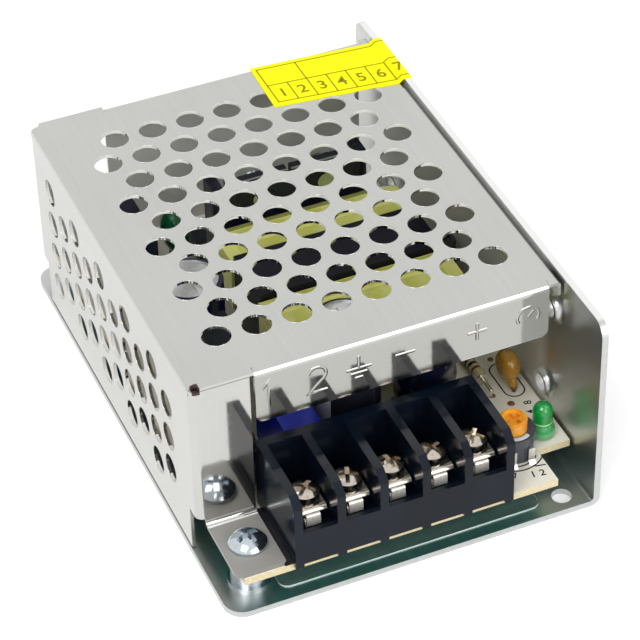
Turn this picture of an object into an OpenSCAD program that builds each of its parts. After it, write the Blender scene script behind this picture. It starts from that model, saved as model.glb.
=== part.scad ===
// Mesh case switching power supply: a folded base with one tall wall, a perforated
// folded cover, a circuit board on standoffs, a five-way screw terminal block and
// the electronic parts that stand on the board.
// X runs along the terminal row, Y runs from the terminals to the rear, Z is up.
// The origin is the centre of the base plate's underside.

/* [Case] */
// Width of the base plate, left edge to the outside of the right wall
case_w = 58; // [57:0.5:72]
// Depth of the base plate, terminal edge to rear edge
case_d = 85; // [84:0.5:104]
// Height of the right wall above the mounting surface
case_h = 34; // [33.5:0.5:42]
// Thickness of the base and wall sheet
base_t = 1; // [0.8:0.1:1.2]
// Outside radius of the fold between base and wall
base_fold_r = 1.6; // [1.4:0.1:3]
// Radius of the two left corners of the base
base_corner_r = 3; // [1:0.5:4]
// Radius of the two top corners of the wall
wall_corner_r = 2.5; // [1:0.5:4]
// Diameter of the fixing holes in the base
fix_hole_d = 3; // [2.5:0.1:4]
// Distance of the fixing holes from the front and rear edges
fix_hole_edge = 2.8; // [2.4:0.1:4]
// Distance of the fixing holes from the right edge
fix_hole_side = 4.8; // [4:0.1:5]
// Thread core diameter of the tapped side holes
side_hole_d = 2.8; // [2:0.1:3.3]
// Height of the lower tapped side holes
side_hole_low = 11.5; // [10.5:0.1:13]
// Height of the upper tapped side hole above the lower ones
side_hole_rise = 15.7; // [10:0.1:16]
// Distance of the lower tapped side holes from the front and rear edges
side_hole_edge = 16; // [13:0.5:20]
// How far the upper tapped side hole lies nearer to the front
side_hole_stagger = 2; // [0:0.5:3]
// Outside diameter of the collar drawn round each tapped side hole
side_collar_d = 4; // [3.7:0.1:5]
// Length of that collar inside the wall
side_collar_l = 1; // [0.6:0.1:1.2]

/* [Cover] */
// Thickness of the cover sheet
cover_t = 0.5; // [0.5:0.1:0.9]
// Outside radius of the cover's folds
cover_fold_r = 1.2; // [1.1:0.1:1.6]
// How far the lid lies below the top of the wall
lid_drop = 0.7; // [0.3:0.1:1.5]
// Gap between the lid and the inside of the wall
lid_gap = 0.3; // [0.2:0.05:0.6]
// How far the left panel stands inside the base edge
panel_inset = 0.1; // [0.1:0.1:0.5]
// Gap under the left panel
panel_lift = 0.2; // [0.1:0.1:0.5]
// Setback of the cover's front from the front edge of the base
cover_setback = 12.1; // [12:0.1:14]
// Strip of base and board behind the cover
rear_strip = 5.2; // [5.2:0.1:7]
// Height of the front flap over the terminals
flap_h = 9.3; // [8:0.1:9.5]
// Radius of the flaps' lower corners
flap_corner_r = 1.2; // [0.5:0.1:2]
// Width of the two corner tabs
tab_w = 8.9; // [8.6:0.1:9.4]
// Slit between the front tab and the front flap
front_slit = 0.75; // [0.4:0.05:2]
// Slit between the rear tab and the rear flap
rear_slit = 3; // [1:0.1:4]
// Distance from the flaps' right ends to the inside of the wall
flap_end_gap = 2.1; // [1.8:0.1:4]
// Height of the opening left in the panel's lower corners
panel_notch_h = 8.9; // [8.6:0.1:10]
// Depth of that opening, front to rear
panel_notch_d = 3; // [2:0.1:4]
// Length of the foot at the bottom of the front tab
front_foot_l = 11.6; // [10:0.1:11.7]
// Length of the foot at the bottom of the rear tab
rear_foot_l = 4.9; // [4.8:0.1:5]
// Width of the feet
foot_w = 7.6; // [7.2:0.1:7.8]
// Depth of the lip at the lid's right edge
lip_h = 2.4; // [2:0.1:4]

/* [Perforation] */
// Diameter of the ventilation holes
vent_d = 4.4; // [3:0.1:4.8]
// Spacing of the holes along each row
vent_across = 6.1; // [6:0.1:6.3]
// Spacing of the rows from front to rear
vent_along = 5.5; // [5.4:0.1:5.7]
// Number of rows from front to rear
vent_rows = 10; // [2:2:10]
// Holes in each long row of the lid
vent_lid_n = 8; // [2:1:8]
// Holes in each long row of the left panel
vent_side_n = 4; // [2:1:4]
// Distance from the cover's front to the lid's first row
vent_front = 9.4; // [9:0.1:10]
// Height of the lowest hole in the left panel
vent_low = 7.6; // [6:0.1:8]

/* [Circuit board] */
// Thickness of the board
board_t = 1.2; // [0.8:0.1:1.6]
// Height of the board's underside above the base sheet
standoff_h = 5; // [4.6:0.1:5.2]
// Distance from the board's left edge to the base edge
board_left_gap = 2.5; // [2:0.1:3]
// Distance from the board's right edge to the wall
board_right_gap = 0.4; // [0.3:0.1:0.8]
// Setback of the board's front and rear edges from the base edges
board_end_gap = 0.3; // [0.2:0.1:0.5]
// Width of the notches over the fixing holes
notch_w = 5.4; // [5.2:0.1:6]
// Depth of those notches
notch_d = 6.9; // [5.6:0.1:7]
// Outside diameter of the large standoffs
standoff_d = 5.5; // [5:0.1:5.8]
// Outside diameter of the small standoff at the rear left
small_standoff_d = 3.6; // [3.4:0.1:4.6]
// Diameter of the M3 screw shanks
screw_d = 2.9; // [2.6:0.1:3]
// Diameter of the shank of the small screw at the rear left
small_screw_d = 2.4; // [2:0.1:2.5]
// Diameter of the M3 pan heads
head_d = 5.6; // [5:0.1:6]
// Height of the M3 pan heads
head_h = 2; // [1.5:0.1:2.4]
// Thickness of the insulating film under the board
film_t = 0.2; // [0.1:0.05:0.4]

/* [Terminal block] */
// Spacing of the five terminals
term_pitch = 6.5; // [5.4:0.1:6.5]
// Thickness of the dividers
divider_t = 1.3; // [1:0.1:1.5]
// Height of the block above the board
block_h = 12; // [11.8:0.1:13]
// Depth of the block, front to rear
block_d = 14.3; // [14:0.1:14.6]
// Overhang of the block past the base's front edge
block_overhang = 0.4; // [0.2:0.1:0.6]
// Distance of the block's left end from the base edge
block_left = 9.9; // [9.8:0.1:11]
// Height of the front sill above the board
sill_h = 5.8; // [5.6:0.1:6]
// Thickness of the block's rear rail
rail_t = 1.6; // [1.2:0.1:2]
// Thickness of the terminal strips
strip_t = 0.8; // [0.6:0.1:1]
// Height of the terminal strips' top above the board
strip_h = 5.6; // [5.4:0.1:5.8]
// Width of the tongue at the front of each strip
tongue_w = 2.4; // [1.6:0.1:3]
// Diameter of the terminal screws' shanks
term_screw_d = 2.5; // [2:0.1:2.6]
// Height of the terminal screws' heads
term_head_h = 1.7; // [1.5:0.1:2]
// Thickness of the clamp plates
clamp_t = 0.7; // [0.5:0.1:0.8]
// Radial clearance of a turning shaft in its hole
run_clear = 0.05; // [0.02:0.01:0.1]
// Gap between faces that slide or turn on each other
face_clear = 0.05; // [0.02:0.01:0.1]

/* [Front right corner] */
// Diameter of the trimmer's round body
trimmer_d = 6.6; // [5.4:0.1:6.8]
// Diameter of the trimmer's rotor
rotor_d = 4.2; // [3.6:0.1:5]
// Height of the rotor above the body
rotor_h = 2.1; // [1:0.1:2.4]
// Diameter of the indicator lamp
led_d = 3; // [2.6:0.1:3.2]
// Height of the indicator lamp above the board
led_h = 6; // [5:0.1:8]

/* [Transformer] */
// Length of the core across the case
core_l = 29.5; // [28.5:0.5:29.5]
// Width of the core's yokes
core_w = 10.4; // [8:0.1:11]
// Height of the core's top above the board
core_top = 16.8; // [16:0.1:18]
// Depth of the winding, front to rear
winding_d = 30.2; // [26:0.1:30.4]

/* [Hidden] */
$fn = 48;
eps = 0.01;

// Case faces
x_left = -case_w / 2;
x_right = case_w / 2;
y_front = -case_d / 2;
y_rear = case_d / 2;
wall_in = x_right - base_t;
side_holes = [
  [y_front + side_hole_edge, side_hole_low],
  [y_front + side_hole_edge - side_hole_stagger, side_hole_low + side_hole_rise],
  [y_rear - side_hole_edge, side_hole_low]
];

// Cover faces
cover_x0 = x_left + panel_inset;
cover_x1 = wall_in - lid_gap;
cover_y0 = y_front + cover_setback;
cover_y1 = y_rear - rear_strip;
cover_top = case_h - lid_drop;
cover_under = cover_top - cover_t;
cover_low = base_t + panel_lift;
lip_fold_r = cover_t + 0.1;
tab_x1 = cover_x0 + tab_w;
foot_x0 = tab_x1 - foot_w;
flap_x0 = tab_x1 + front_slit;
rear_flap_x0 = tab_x1 + rear_slit;
flap_x1 = wall_in - flap_end_gap;
relief_d = 1.8;
tab_seam = 0.1;

// Board faces
board_z0 = base_t + standoff_h;
board_z1 = board_z0 + board_t;
board_x0 = x_left + board_left_gap;
board_x1 = wall_in - board_right_gap;
board_y0 = y_front + board_end_gap;
board_y1 = y_rear - board_end_gap;
foot_top = board_z1 + cover_t;
rear_flap_z = foot_top;

// Screws: each sits in a bore with a small radial gap, and passes through wider holes
thread_gap = 0.05;
pass_gap = 0.15;
small_head_d = 4.4;
small_head_h = 1.6;
shank_below = 5.6;
front_foot_at = [tab_x1 - foot_w / 2 + 0.1, board_y0 + 5.9];
rear_foot_at = [front_foot_at[0], cover_y1 + cover_fold_r - cover_t + 2.3];
right_screws_at = [[board_x1 - 3.6, board_y0 + 32.7], [board_x1 - 3.6, board_y1 - 11.7]];

// Terminal block
term_n = 5;
block_x0 = x_left + block_left;
block_w = term_n * term_pitch + divider_t;
block_x1 = block_x0 + block_w;
block_y0 = y_front - block_overhang;
block_y1 = block_y0 + block_d;
well_w = term_pitch - divider_t;
well_y1 = block_y1 - rail_t;
strip_top = board_z1 + strip_h;
strip_w = well_w - 0.8;
strip_y0 = block_y0 + 2.7;
strip_y1 = block_y0 + 9.5;
strip_fold_r = strip_t + 0.2;
strip_lip = 1.5;
tongue_l = 1.3;
sill_t = 0.8;
pocket_floor = board_z1 + 1.2;
gap_floor = strip_top - strip_lip - 0.1;
term_y = block_y0 + 5.6;
clamp_w = well_w - 0.6;
clamp_l = 5.2;
clamp_leg = 0.5;
clamp_z = strip_top + face_clear;
clamp_top = clamp_z + clamp_leg + clamp_t;
washer_t = 0.5;
term_head_d = well_w - 1;
term_seat = clamp_top + washer_t + face_clear;
term_tip = board_z1 + 2.2;
term_hole_d = term_screw_d + 0.2;
divider_chamfer = 1.5;
divider_foot = 0.6;

// Front right corner
trimmer_at = [block_x1 + 0.9 + trimmer_d / 2, block_y0 + 9];
trimmer_leg_h = 2.9;
trimmer_body_h = 1.5;
trimmer_turn = 18;
rotor_pin_d = 2;
rotor_pin_l = 1.2;
rotor_z = board_z1 + trimmer_leg_h + trimmer_body_h + face_clear;
led_at = [board_x1 - 3.1, board_y0 + 9.8];
dipped_at = [board_x1 - 2.7, board_y0 + 22.2];
resistor_at = [board_x1 - 6.3, board_y0 + 26.3];

// Transformer, from the bobbin's base up
core_at = [x_left + 35.4, cover_y0 + 30.7];
bobbin_base_t = 1.6;
yoke_t = 4;
core_leg_t = 2.9;
core_post_d = 8;
core_gap = 0.2;
flange_t = 0.8;
core_z0 = board_z1 + bobbin_base_t;
core_z1 = board_z1 + core_top;
window_l = core_l - 2 * core_leg_t;
bobbin_l = window_l - 0.6;
winding_l = bobbin_l - 0.4;
winding_z0 = core_z0 + yoke_t + core_gap + flange_t;
winding_z1 = core_z1 - 1;
lobe_l = core_l + 0.8;

// Mains side
film_cap_size = [5.6, 12.5, 10.3];
film_cap_at = [block_x0 + 8.1, block_y1 + 7.3];
fuse_d = 8;
fuse_at = [board_x0 + 5.7, block_y1 + 6.3];
choke_at = [board_x0 + 9.4, cover_y0 + 19.4];
main_cap_d = 10.2;
main_cap_h = 20;
main_cap_at = [board_x0 + 8.9, cover_y0 + 30];
limiter_d = 9;
limiter_at = [board_x0 + 15, cover_y0 + 53.4];
small_disc_d = 6.5;
small_disc_at = [board_x0 + 11.7, cover_y0 + 43.4];
bridge_size = [3.5, 14.5, 11.7];
bridge_at = [board_x0 + 8.8, cover_y0 + 55.6];
lead_d = 0.6;

// Heat sink behind the transformer and the devices on its rear face
sink_l = 25.6;
sink_t = 1.8;
sink_d = 5.7;
sink_h = 19.2;
sink_at = [core_at[0], cover_y0 + 47.4];
pad_t = 0.2;
device_w = 10;
device_tab_t = 1.3;
device_body_t = 4.4;
device_z = board_z1 + 4;
device_gap = 0.7;
device_y = sink_at[1] + sink_t + pad_t;
device_xs = [for (s = [-1, 1]) sink_at[0] + s * (device_w + device_gap) / 2];

// Low parts at the rear and the output filter
chip_at = [core_at[0] - 8.4, board_y1 - 13.6];
opto_at = [core_at[0] + 2.4, board_y1 - 13.6];
bias_cap_at = [core_at[0] + 10.8, board_y1 - 13.4];
tall_cap_d = 10;
tall_cap_h = 22.4;
tall_cap_at = [block_x0 + 17.4, block_y1 + 7.6];
small_cap_d = 5.2;
small_cap_at = [board_x1 - 3.2, board_y0 + 45.2];
out_choke_d = 10.4;
out_choke_h = 16.6;
out_choke_at = [tall_cap_at[0] + 12.4, tall_cap_at[1] - 0.3];

// ---------- shared shapes ----------

// Section of a sheet folded once: the outside corner is the origin, one leg runs
// along +X and the other along +Y
module folded_section(len_x, len_y, t, r) {
  translate([r, 0]) square([len_x - r, t]);
  translate([0, r]) square([t, len_y - r]);
  translate([r, r]) intersection() {
    difference() {
      circle(r);
      circle(r - t);
    }
    translate([-r, -r]) square(r);
  }
}

// Rectangle with four round corners
module round_rect(w, d, r) {
  translate([r, 0]) square([w - 2 * r, d]);
  translate([0, r]) square([w, d - 2 * r]);
  for (x = [r, w - r], y = [r, d - r])
    translate([x, y]) circle(r);
}

// Cutter that rounds a square corner at the origin whose material lies at +X +Y
module corner_cutter(r, h) {
  translate([0, 0, -1]) difference() {
    translate([-1, -1, 0]) cube([r + 1, r + 1, h + 2]);
    translate([r, r, -1]) cylinder(r = r, h = h + 4);
  }
}

// Extrude a section drawn in Y and Z along X, from x0 to x1
module along_x(x0, x1) {
  translate([x0, 0, 0]) rotate([90, 0, 90]) linear_extrude(x1 - x0) children();
}

// Extrude a section drawn in X and Z along Y, from y0 to y1
module along_y(y0, y1) {
  translate([0, y1, 0]) rotate([90, 0, 0]) linear_extrude(y1 - y0) children();
}

// Recess for a cross driver, sunk from z = 0
module cross_recess(span, w, depth) {
  for (a = [0, 90])
    rotate([0, 0, a]) translate([-span / 2, -w / 2, -depth]) cube([span, w, depth + 1]);
}

// Pan head screw with its seat at z = 0 and its shank below: dome is the top's radius
// over the head's diameter, and reach is the cross recess over that diameter
module pan_screw(head_d, head_h, shank_d, shank_l, dome = 0.62, reach = 0.6) {
  dome_r = head_d * dome;
  difference() {
    union() {
      rotate_extrude() intersection() {
        square([head_d / 2, head_h]);
        translate([0, head_h - dome_r]) circle(dome_r, $fn = 96);
      }
      translate([0, 0, -shank_l]) cylinder(d = shank_d, h = shank_l + eps);
    }
    translate([0, 0, head_h]) cross_recess(head_d * reach, head_d * 0.15, head_h * 0.6);
  }
}

// Collar drawn out of a sheet, with a curved root, rising from z = 0
module drawn_collar(outer_d, len) {
  root = len * 0.9;
  rotate_extrude() difference() {
    union() {
      square([outer_d / 2, len]);
      square([outer_d / 2 + root, root]);
    }
    translate([outer_d / 2 + root, root]) circle(root);
  }
}

// Electrolytic capacitor that stands on z = 0, with a crimp and a scored top
module electrolytic(d, h) {
  rim = 0.5;
  crimp = 0.5;
  dish = 0.25;
  difference() {
    rotate_extrude() difference() {
      union() {
        square([d / 2 - rim, h]);
        square([d / 2, h - rim]);
        translate([d / 2 - rim, h - rim]) circle(rim);
      }
      translate([d / 2 + crimp * 0.3, 2.2]) circle(crimp);
    }
    translate([0, 0, h - dish]) cylinder(d = d - 1.6, h = 1);
    translate([0, 0, h - dish + eps]) cross_recess(d * 0.6, 0.3, 0.2);
  }
}

// Dipped disc on two leads: the disc's axis is X and its centre is at disc_z
module leaded_disc(d, t, disc_z) {
  bulge_r = (d * d + t * t) / (4 * t);
  translate([0, 0, disc_z]) rotate([0, 90, 0]) rotate_extrude() intersection() {
    translate([0, bulge_r - t / 2]) circle(bulge_r, $fn = 120);
    translate([0, t / 2 - bulge_r]) circle(bulge_r, $fn = 120);
    translate([0, -t]) square([d, 2 * t]);
  }
  for (s = [-1, 1])
    translate([0, s * d * 0.25, 0]) cylinder(d = lead_d, h = disc_z - d * 0.25);
}

// Drum core that stands on z = 0
module drum_core(d, h, post_d, rim_t) {
  cylinder(d = d, h = rim_t);
  cylinder(d = post_d, h = h);
  translate([0, 0, h - rim_t]) cylinder(d = d, h = rim_t);
}

// Chip in a dual in-line case with legs down to z = 0
module dual_in_line(w, legs) {
  body_z = 0.6;
  body_h = 3.3;
  body_d = 6.4;
  leg_w = 0.6;
  translate([-w / 2, -body_d / 2, body_z]) cube([w, body_d, body_h]);
  for (i = [0:legs - 1], s = [-1, 1])
    translate([(i - (legs - 1) / 2) * 2.54, s * (body_d / 2 + 0.3), 0]) {
      translate([-leg_w / 2, -0.15, 0]) cube([leg_w, 0.3, 2]);
      translate([-leg_w / 2, -0.45, 1.7]) cube([leg_w, 0.9, 0.3]);
    }
}

// ---------- case ----------

module base_chassis() {
  color("silver") difference() {
    union() {
      along_y(y_front, y_rear) translate([x_right, 0]) mirror([1, 0])
        folded_section(case_w, case_h, base_t, base_fold_r);
      for (p = side_holes)
        translate([wall_in + eps, p[0], p[1]]) rotate([0, -90, 0])
          drawn_collar(side_collar_d, side_collar_l + eps);
    }
    for (p = side_holes)
      translate([x_right + 1, p[0], p[1]]) rotate([0, -90, 0])
        cylinder(d = side_hole_d, h = base_t + side_collar_l + 2);
    for (y = [y_front + fix_hole_edge, y_rear - fix_hole_edge])
      translate([x_right - fix_hole_side, y, -1]) cylinder(d = fix_hole_d, h = base_t + 2);
    for (s = [0, 1]) mirror([0, s, 0]) {
      translate([x_left, y_front, 0]) corner_cutter(base_corner_r, base_t);
      translate([wall_in, y_front, case_h]) rotate([0, 90, 0])
        corner_cutter(wall_corner_r, base_t);
    }
  }
}

// Ventilation holes of the lid: rows of vent_lid_n and of one fewer in turn
module lid_vents() {
  for (row = [0:vent_rows - 1]) {
    n = vent_lid_n - row % 2;
    for (i = [0:n - 1])
      translate([(cover_x0 + cover_x1) / 2 + 0.8 + (i - (n - 1) / 2) * vent_across,
                 cover_y0 + vent_front + row * vent_along, cover_under - 1])
        cylinder(d = vent_d, h = cover_t + 2, $fn = 32);
  }
}

// Ventilation holes of the left panel: columns of one fewer and of vent_side_n in turn
module side_vents() {
  for (col = [0:vent_rows - 1]) {
    n = vent_side_n - (col + 1) % 2;
    for (i = [0:n - 1])
      translate([cover_x0 - 1, cover_y0 + vent_front + 0.8 + col * vent_along,
                 vent_low + (i + (vent_side_n - n) / 2) * vent_across])
        rotate([0, 90, 0]) cylinder(d = vent_d, h = cover_t + 2, $fn = 32);
  }
}

// Lid, left panel and right lip as one folded section
module cover_shell() {
  lid_w = cover_x1 - cover_x0;
  along_y(cover_y0, cover_y1) translate([cover_x0, cover_top]) mirror([0, 1]) {
    folded_section(lid_w - lip_fold_r, cover_top - cover_low, cover_t, cover_fold_r);
    translate([lid_w, 0]) mirror([1, 0])
      folded_section(2 * lip_fold_r, lip_h, cover_t, lip_fold_r);
  }
}

// What is cut from one end of the shell, where y = 0 is the end's outside face:
// room for the flap's fold, room for the tab's fold, a relief hole and a low notch
module shell_end_cuts(flap_start) {
  translate([flap_start - tab_seam, -1, cover_under - 2])
    cube([flap_x1 - flap_start + 2 * tab_seam, cover_fold_r + 1, 4]);
  translate([cover_x0 - 1, -1, 0])
    cube([cover_t + 2, cover_fold_r + 1, cover_under - tab_seam - relief_d / 2]);
  translate([cover_x0 + relief_d * 0.35, 0, cover_under - relief_d])
    cylinder(d = relief_d, h = relief_d + cover_t + 1);
  translate([cover_x0 - 1, -1, 0]) cube([cover_t + 2, panel_notch_d + 1, panel_notch_h]);
}

// Flap folded down from the lid, where y = 0 is its outside face
module lid_flap(x0, x1, z_low) {
  w = x1 - x0;
  r = flap_corner_r;
  along_x(x0, x1) translate([0, cover_top]) mirror([0, 1])
    folded_section(cover_fold_r + 0.2, cover_fold_r + 1, cover_t, cover_fold_r);
  translate([x0, cover_t, z_low]) rotate([90, 0, 0]) linear_extrude(cover_t) {
    translate([r, 0]) square([w - 2 * r, r + eps]);
    translate([0, r]) square([w, cover_top - cover_fold_r - z_low - r]);
    for (x = [r, w - r])
      translate([x, r]) circle(r);
  }
}

// Tab folded from the left panel, with the foot folded out of its lower end, where
// y = 0 is the tab's outside face
module corner_tab(foot_l) {
  low = panel_notch_h;
  translate([cover_x0, 0, low]) linear_extrude(cover_under - tab_seam - low)
    folded_section(tab_w, cover_fold_r + 0.2, cover_t, cover_fold_r);
  translate([foot_x0, 0, board_z1 + cover_fold_r])
    cube([foot_w, cover_t, low - board_z1 - cover_fold_r + eps]);
  difference() {
    along_x(foot_x0, tab_x1) translate([cover_t, board_z1]) mirror([1, 0])
      folded_section(foot_l + cover_t, cover_fold_r + 0.2, cover_t, cover_fold_r);
    translate([foot_x0, -foot_l, board_z1]) corner_cutter(flap_corner_r, cover_t);
    translate([tab_x1, -foot_l, board_z1]) mirror([1, 0, 0])
      corner_cutter(flap_corner_r / 2, cover_t);
  }
}

module foot_hole(at, shank_d) {
  translate([at[0], at[1], board_z1 - 1]) cylinder(d = shank_d + 2 * pass_gap, h = cover_t + 2);
}

module top_cover() {
  color("gainsboro") difference() {
    union() {
      difference() {
        cover_shell();
        translate([0, cover_y0, 0]) shell_end_cuts(flap_x0);
        translate([0, cover_y1, 0]) mirror([0, 1, 0]) shell_end_cuts(rear_flap_x0);
      }
      translate([0, cover_y0, 0]) {
        lid_flap(flap_x0, flap_x1, cover_top - flap_h);
        corner_tab(front_foot_l);
      }
      translate([0, cover_y1, 0]) mirror([0, 1, 0]) {
        lid_flap(rear_flap_x0, flap_x1, rear_flap_z);
        corner_tab(rear_foot_l);
      }
    }
    lid_vents();
    side_vents();
    foot_hole(front_foot_at, screw_d);
    foot_hole(rear_foot_at, small_screw_d);
  }
}

// Paper seal that runs from the lid over the gap and down the outside of the wall
module seal_sticker() {
  paper_t = 0.15;
  left = cover_x0 + 36;
  step_x = cover_x1 - 0.5;
  drop = 6;
  color("yellow") intersection() {
    along_y(y_front, y_rear) polygon([
      [left, cover_top], [step_x, cover_top], [wall_in, case_h], [x_right, case_h],
      [x_right, case_h - drop], [x_right + paper_t, case_h - drop],
      [x_right + paper_t, case_h + paper_t], [wall_in - 0.1, case_h + paper_t],
      [step_x - 0.1, cover_top + paper_t], [left, cover_top + paper_t]
    ]);
    translate([0, cover_y1 - 11.3, 0]) linear_extrude(case_h + 1) polygon([
      [left, 0], [x_right + 1, -2.7], [x_right + 1, 9.3], [left + 0.4, 11]
    ]);
  }
}

module front_foot_screw() {
  color("silver") translate([front_foot_at[0], front_foot_at[1], foot_top])
    rotate([0, 0, 20]) pan_screw(head_d, head_h, screw_d, shank_below);
}

module rear_foot_screw() {
  color("silver") translate([rear_foot_at[0], rear_foot_at[1], foot_top])
    pan_screw(small_head_d, small_head_h, small_screw_d, shank_below);
}

module insulating_film() {
  left = front_foot_at[0] + standoff_d / 2 + 0.6;
  right = right_screws_at[0][0] - standoff_d / 2 - 0.6;
  edge = 2.1;
  color("lightcyan") translate([left, y_front + edge, base_t])
    linear_extrude(film_t) round_rect(right - left, case_d - 2 * edge, 1.5);
}

module standoff(at, d, hole_d) {
  ring_h = 0.5;
  translate([at[0], at[1], base_t]) difference() {
    union() {
      cylinder(d = d, h = standoff_h);
      cylinder(d = d + 0.8, h = ring_h);
    }
    translate([0, 0, ring_h]) cylinder(d = hole_d, h = standoff_h);
  }
}

module board_standoffs() {
  color("lightgray") {
    for (at = concat([front_foot_at], right_screws_at))
      standoff(at, standoff_d, screw_d + 2 * thread_gap);
    standoff(rear_foot_at, small_standoff_d, small_screw_d + 2 * thread_gap);
  }
}

module circuit_board() {
  color("wheat") difference() {
    translate([board_x0, board_y0, board_z0])
      cube([board_x1 - board_x0, board_y1 - board_y0, board_t]);
    for (s = [0, 1]) mirror([0, s, 0])
      translate([board_x1 - notch_w, board_y0 - 1, board_z0 - 1])
        cube([notch_w + 1, notch_d + 1, board_t + 2]);
    for (at = concat([front_foot_at], right_screws_at))
      translate([at[0], at[1], board_z0 - 1])
        cylinder(d = screw_d + 2 * pass_gap, h = board_t + 2);
    translate([rear_foot_at[0], rear_foot_at[1], board_z0 - 1])
      cylinder(d = small_screw_d + 2 * pass_gap, h = board_t + 2);
  }
}

module board_screws() {
  color("silver") for (at = right_screws_at)
    translate([at[0], at[1], board_z1])
      pan_screw(head_d, head_h, screw_d, shank_below - cover_t);
}

// ---------- terminal block ----------

function term_x(i) = block_x0 + divider_t + well_w / 2 + (i - 1) * term_pitch;

// Side view of a divider, in Y and Z, with a foot that hangs in front of the board
module divider_outline() {
  y1 = block_y0 + block_d;
  top = board_z1 + block_h;
  foot_y = board_y0 - 0.1;
  polygon([
    [block_y0, board_z1 - divider_foot], [foot_y, board_z1 - divider_foot],
    [foot_y, board_z1], [y1, board_z1], [y1, top],
    [block_y0 + divider_chamfer * 1.2, top], [block_y0, top - divider_chamfer]
  ]);
}

module terminal_housing() {
  ledge_y0 = strip_y0 + strip_fold_r;
  color([0.09, 0.1, 0.13]) difference() {
    union() {
      for (i = [0:term_n])
        along_x(block_x0 + i * term_pitch, block_x0 + i * term_pitch + divider_t)
          divider_outline();
      translate([block_x0, ledge_y0, board_z1])
        cube([block_w, strip_y1 - strip_fold_r - ledge_y0, strip_h - strip_t]);
      translate([block_x0, block_y0, board_z1]) {
        cube([block_w, ledge_y0 + eps - block_y0, gap_floor - board_z1]);
        cube([block_w, sill_t, sill_h]);
        cube([block_w, block_d, pocket_floor - board_z1]);
      }
      translate([block_x0, well_y1, board_z1]) cube([block_w, rail_t, block_h]);
    }
    for (i = [1:term_n])
      translate([term_x(i), term_y, term_tip - 0.6]) cylinder(d = term_screw_d + 1, h = strip_h);
  }
}

// One strip: a tongue turned down at the front, a tapped hole, and a leg down to the
// pocket floor
module terminal_strip() {
  run = strip_y1 - strip_y0;
  difference() {
    union() {
      along_x(-tongue_w / 2, tongue_w / 2) translate([strip_y0, strip_top]) mirror([0, 1])
        folded_section(tongue_l + eps, strip_lip, strip_t, strip_fold_r);
      along_x(-strip_w / 2, strip_w / 2) translate([strip_y1, strip_top]) rotate(180)
        folded_section(run - tongue_l, strip_top - pocket_floor, strip_t, strip_fold_r);
    }
    translate([0, term_y, strip_top - strip_t - 1])
      cylinder(d = term_screw_d + 2 * run_clear, h = strip_t + 2);
  }
}

module terminal_strips() {
  color("silver") for (i = [1:term_n])
    translate([term_x(i), 0, 0]) terminal_strip();
}

// One clamp plate: flat, with its front and rear edges turned down
module clamp_plate(i) {
  r = clamp_t + 0.15;
  color("silver") translate([term_x(i), 0, 0]) difference() {
    along_x(-clamp_w / 2, clamp_w / 2) for (s = [0, 1])
      translate([term_y, clamp_top]) mirror([s, 0]) translate([-clamp_l / 2, 0]) mirror([0, 1])
        folded_section(clamp_l / 2 + eps, clamp_t + clamp_leg, clamp_t, r);
    translate([0, term_y, clamp_z - 1]) cylinder(d = term_hole_d, h = clamp_t + clamp_leg + 2);
  }
}

// One lock washer, split at one side
module lock_washer(i) {
  color("silver") translate([term_x(i), term_y, clamp_top]) difference() {
    cylinder(d = term_head_d - 0.1, h = washer_t);
    translate([0, 0, -1]) cylinder(d = term_hole_d, h = washer_t + 2);
    rotate([0, 0, 35]) translate([0, -0.2, -1]) cube([term_head_d, 0.4, washer_t + 2]);
  }
}

module clamp_screw(i) {
  color("silver") translate([term_x(i), term_y, term_seat])
    rotate([0, 0, 20 + 25 * i])
      pan_screw(term_head_d, term_head_h, term_screw_d, term_seat - term_tip, 1, 0.78);
}

// ---------- front right corner ----------

// Round carrier on a post and three flat legs: one leg at the rear, two at the front
module trimmer_body() {
  leg_w = 1.5;
  leg_t = 0.4;
  leg_spread = 24;
  post_w = 1;
  foot_r = trimmer_d / 2 - leg_t;
  color([0.2, 0.2, 0.22])
    translate([trimmer_at[0], trimmer_at[1], board_z1]) rotate([0, 0, trimmer_turn])
      difference() {
        union() {
          translate([0, 0, trimmer_leg_h]) cylinder(d = trimmer_d, h = trimmer_body_h);
          for (a = [-90 - leg_spread, -90 + leg_spread, 90])
            rotate([0, 0, a]) translate([foot_r - 0.3, -leg_w / 2, 0])
              cube([leg_t, leg_w, trimmer_leg_h + eps]);
          translate([-post_w / 2, -trimmer_d / 2 + 0.2, 0])
            cube([post_w, post_w, trimmer_leg_h + eps]);
        }
        translate([0, 0, trimmer_leg_h + trimmer_body_h - rotor_pin_l - 0.1])
          cylinder(d = rotor_pin_d + 2 * run_clear, h = rotor_pin_l + 1);
      }
}

// Rotor with a rim of two steps, an arrow-shaped driver slot and a pin below
module trimmer_rotor() {
  slot_w = 0.8;
  slot_l = rotor_d * 0.62;
  step = 0.25;
  dish = 0.3;
  color("orange") translate([trimmer_at[0], trimmer_at[1], rotor_z]) difference() {
    union() {
      cylinder(d = rotor_d, h = rotor_h - step);
      cylinder(d = rotor_d - 2 * step, h = rotor_h);
      translate([0, 0, -rotor_pin_l]) cylinder(d = rotor_pin_d, h = rotor_pin_l + eps);
    }
    translate([0, 0, rotor_h - dish]) cylinder(d = rotor_d - 1, h = 1);
    translate([0, 0, rotor_h - dish + eps]) rotate([0, 0, trimmer_turn])
      cross_recess(slot_l, slot_w, 0.7);
  }
}

module indicator_led() {
  flange_z = 0.4;
  dome_z = led_h - led_d / 2;
  color("limegreen") translate([led_at[0], led_at[1], board_z1]) {
    translate([0, 0, flange_z]) cylinder(d = led_d, h = dome_z - flange_z);
    translate([0, 0, flange_z]) cylinder(d = led_d + 0.8, h = 0.9);
    translate([0, 0, dome_z]) sphere(d = led_d);
    for (s = [-1, 1])
      translate([s * 1.27 / 2 - 0.25, -0.25, 0]) cube([0.5, 0.5, flange_z + eps]);
  }
}

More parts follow.
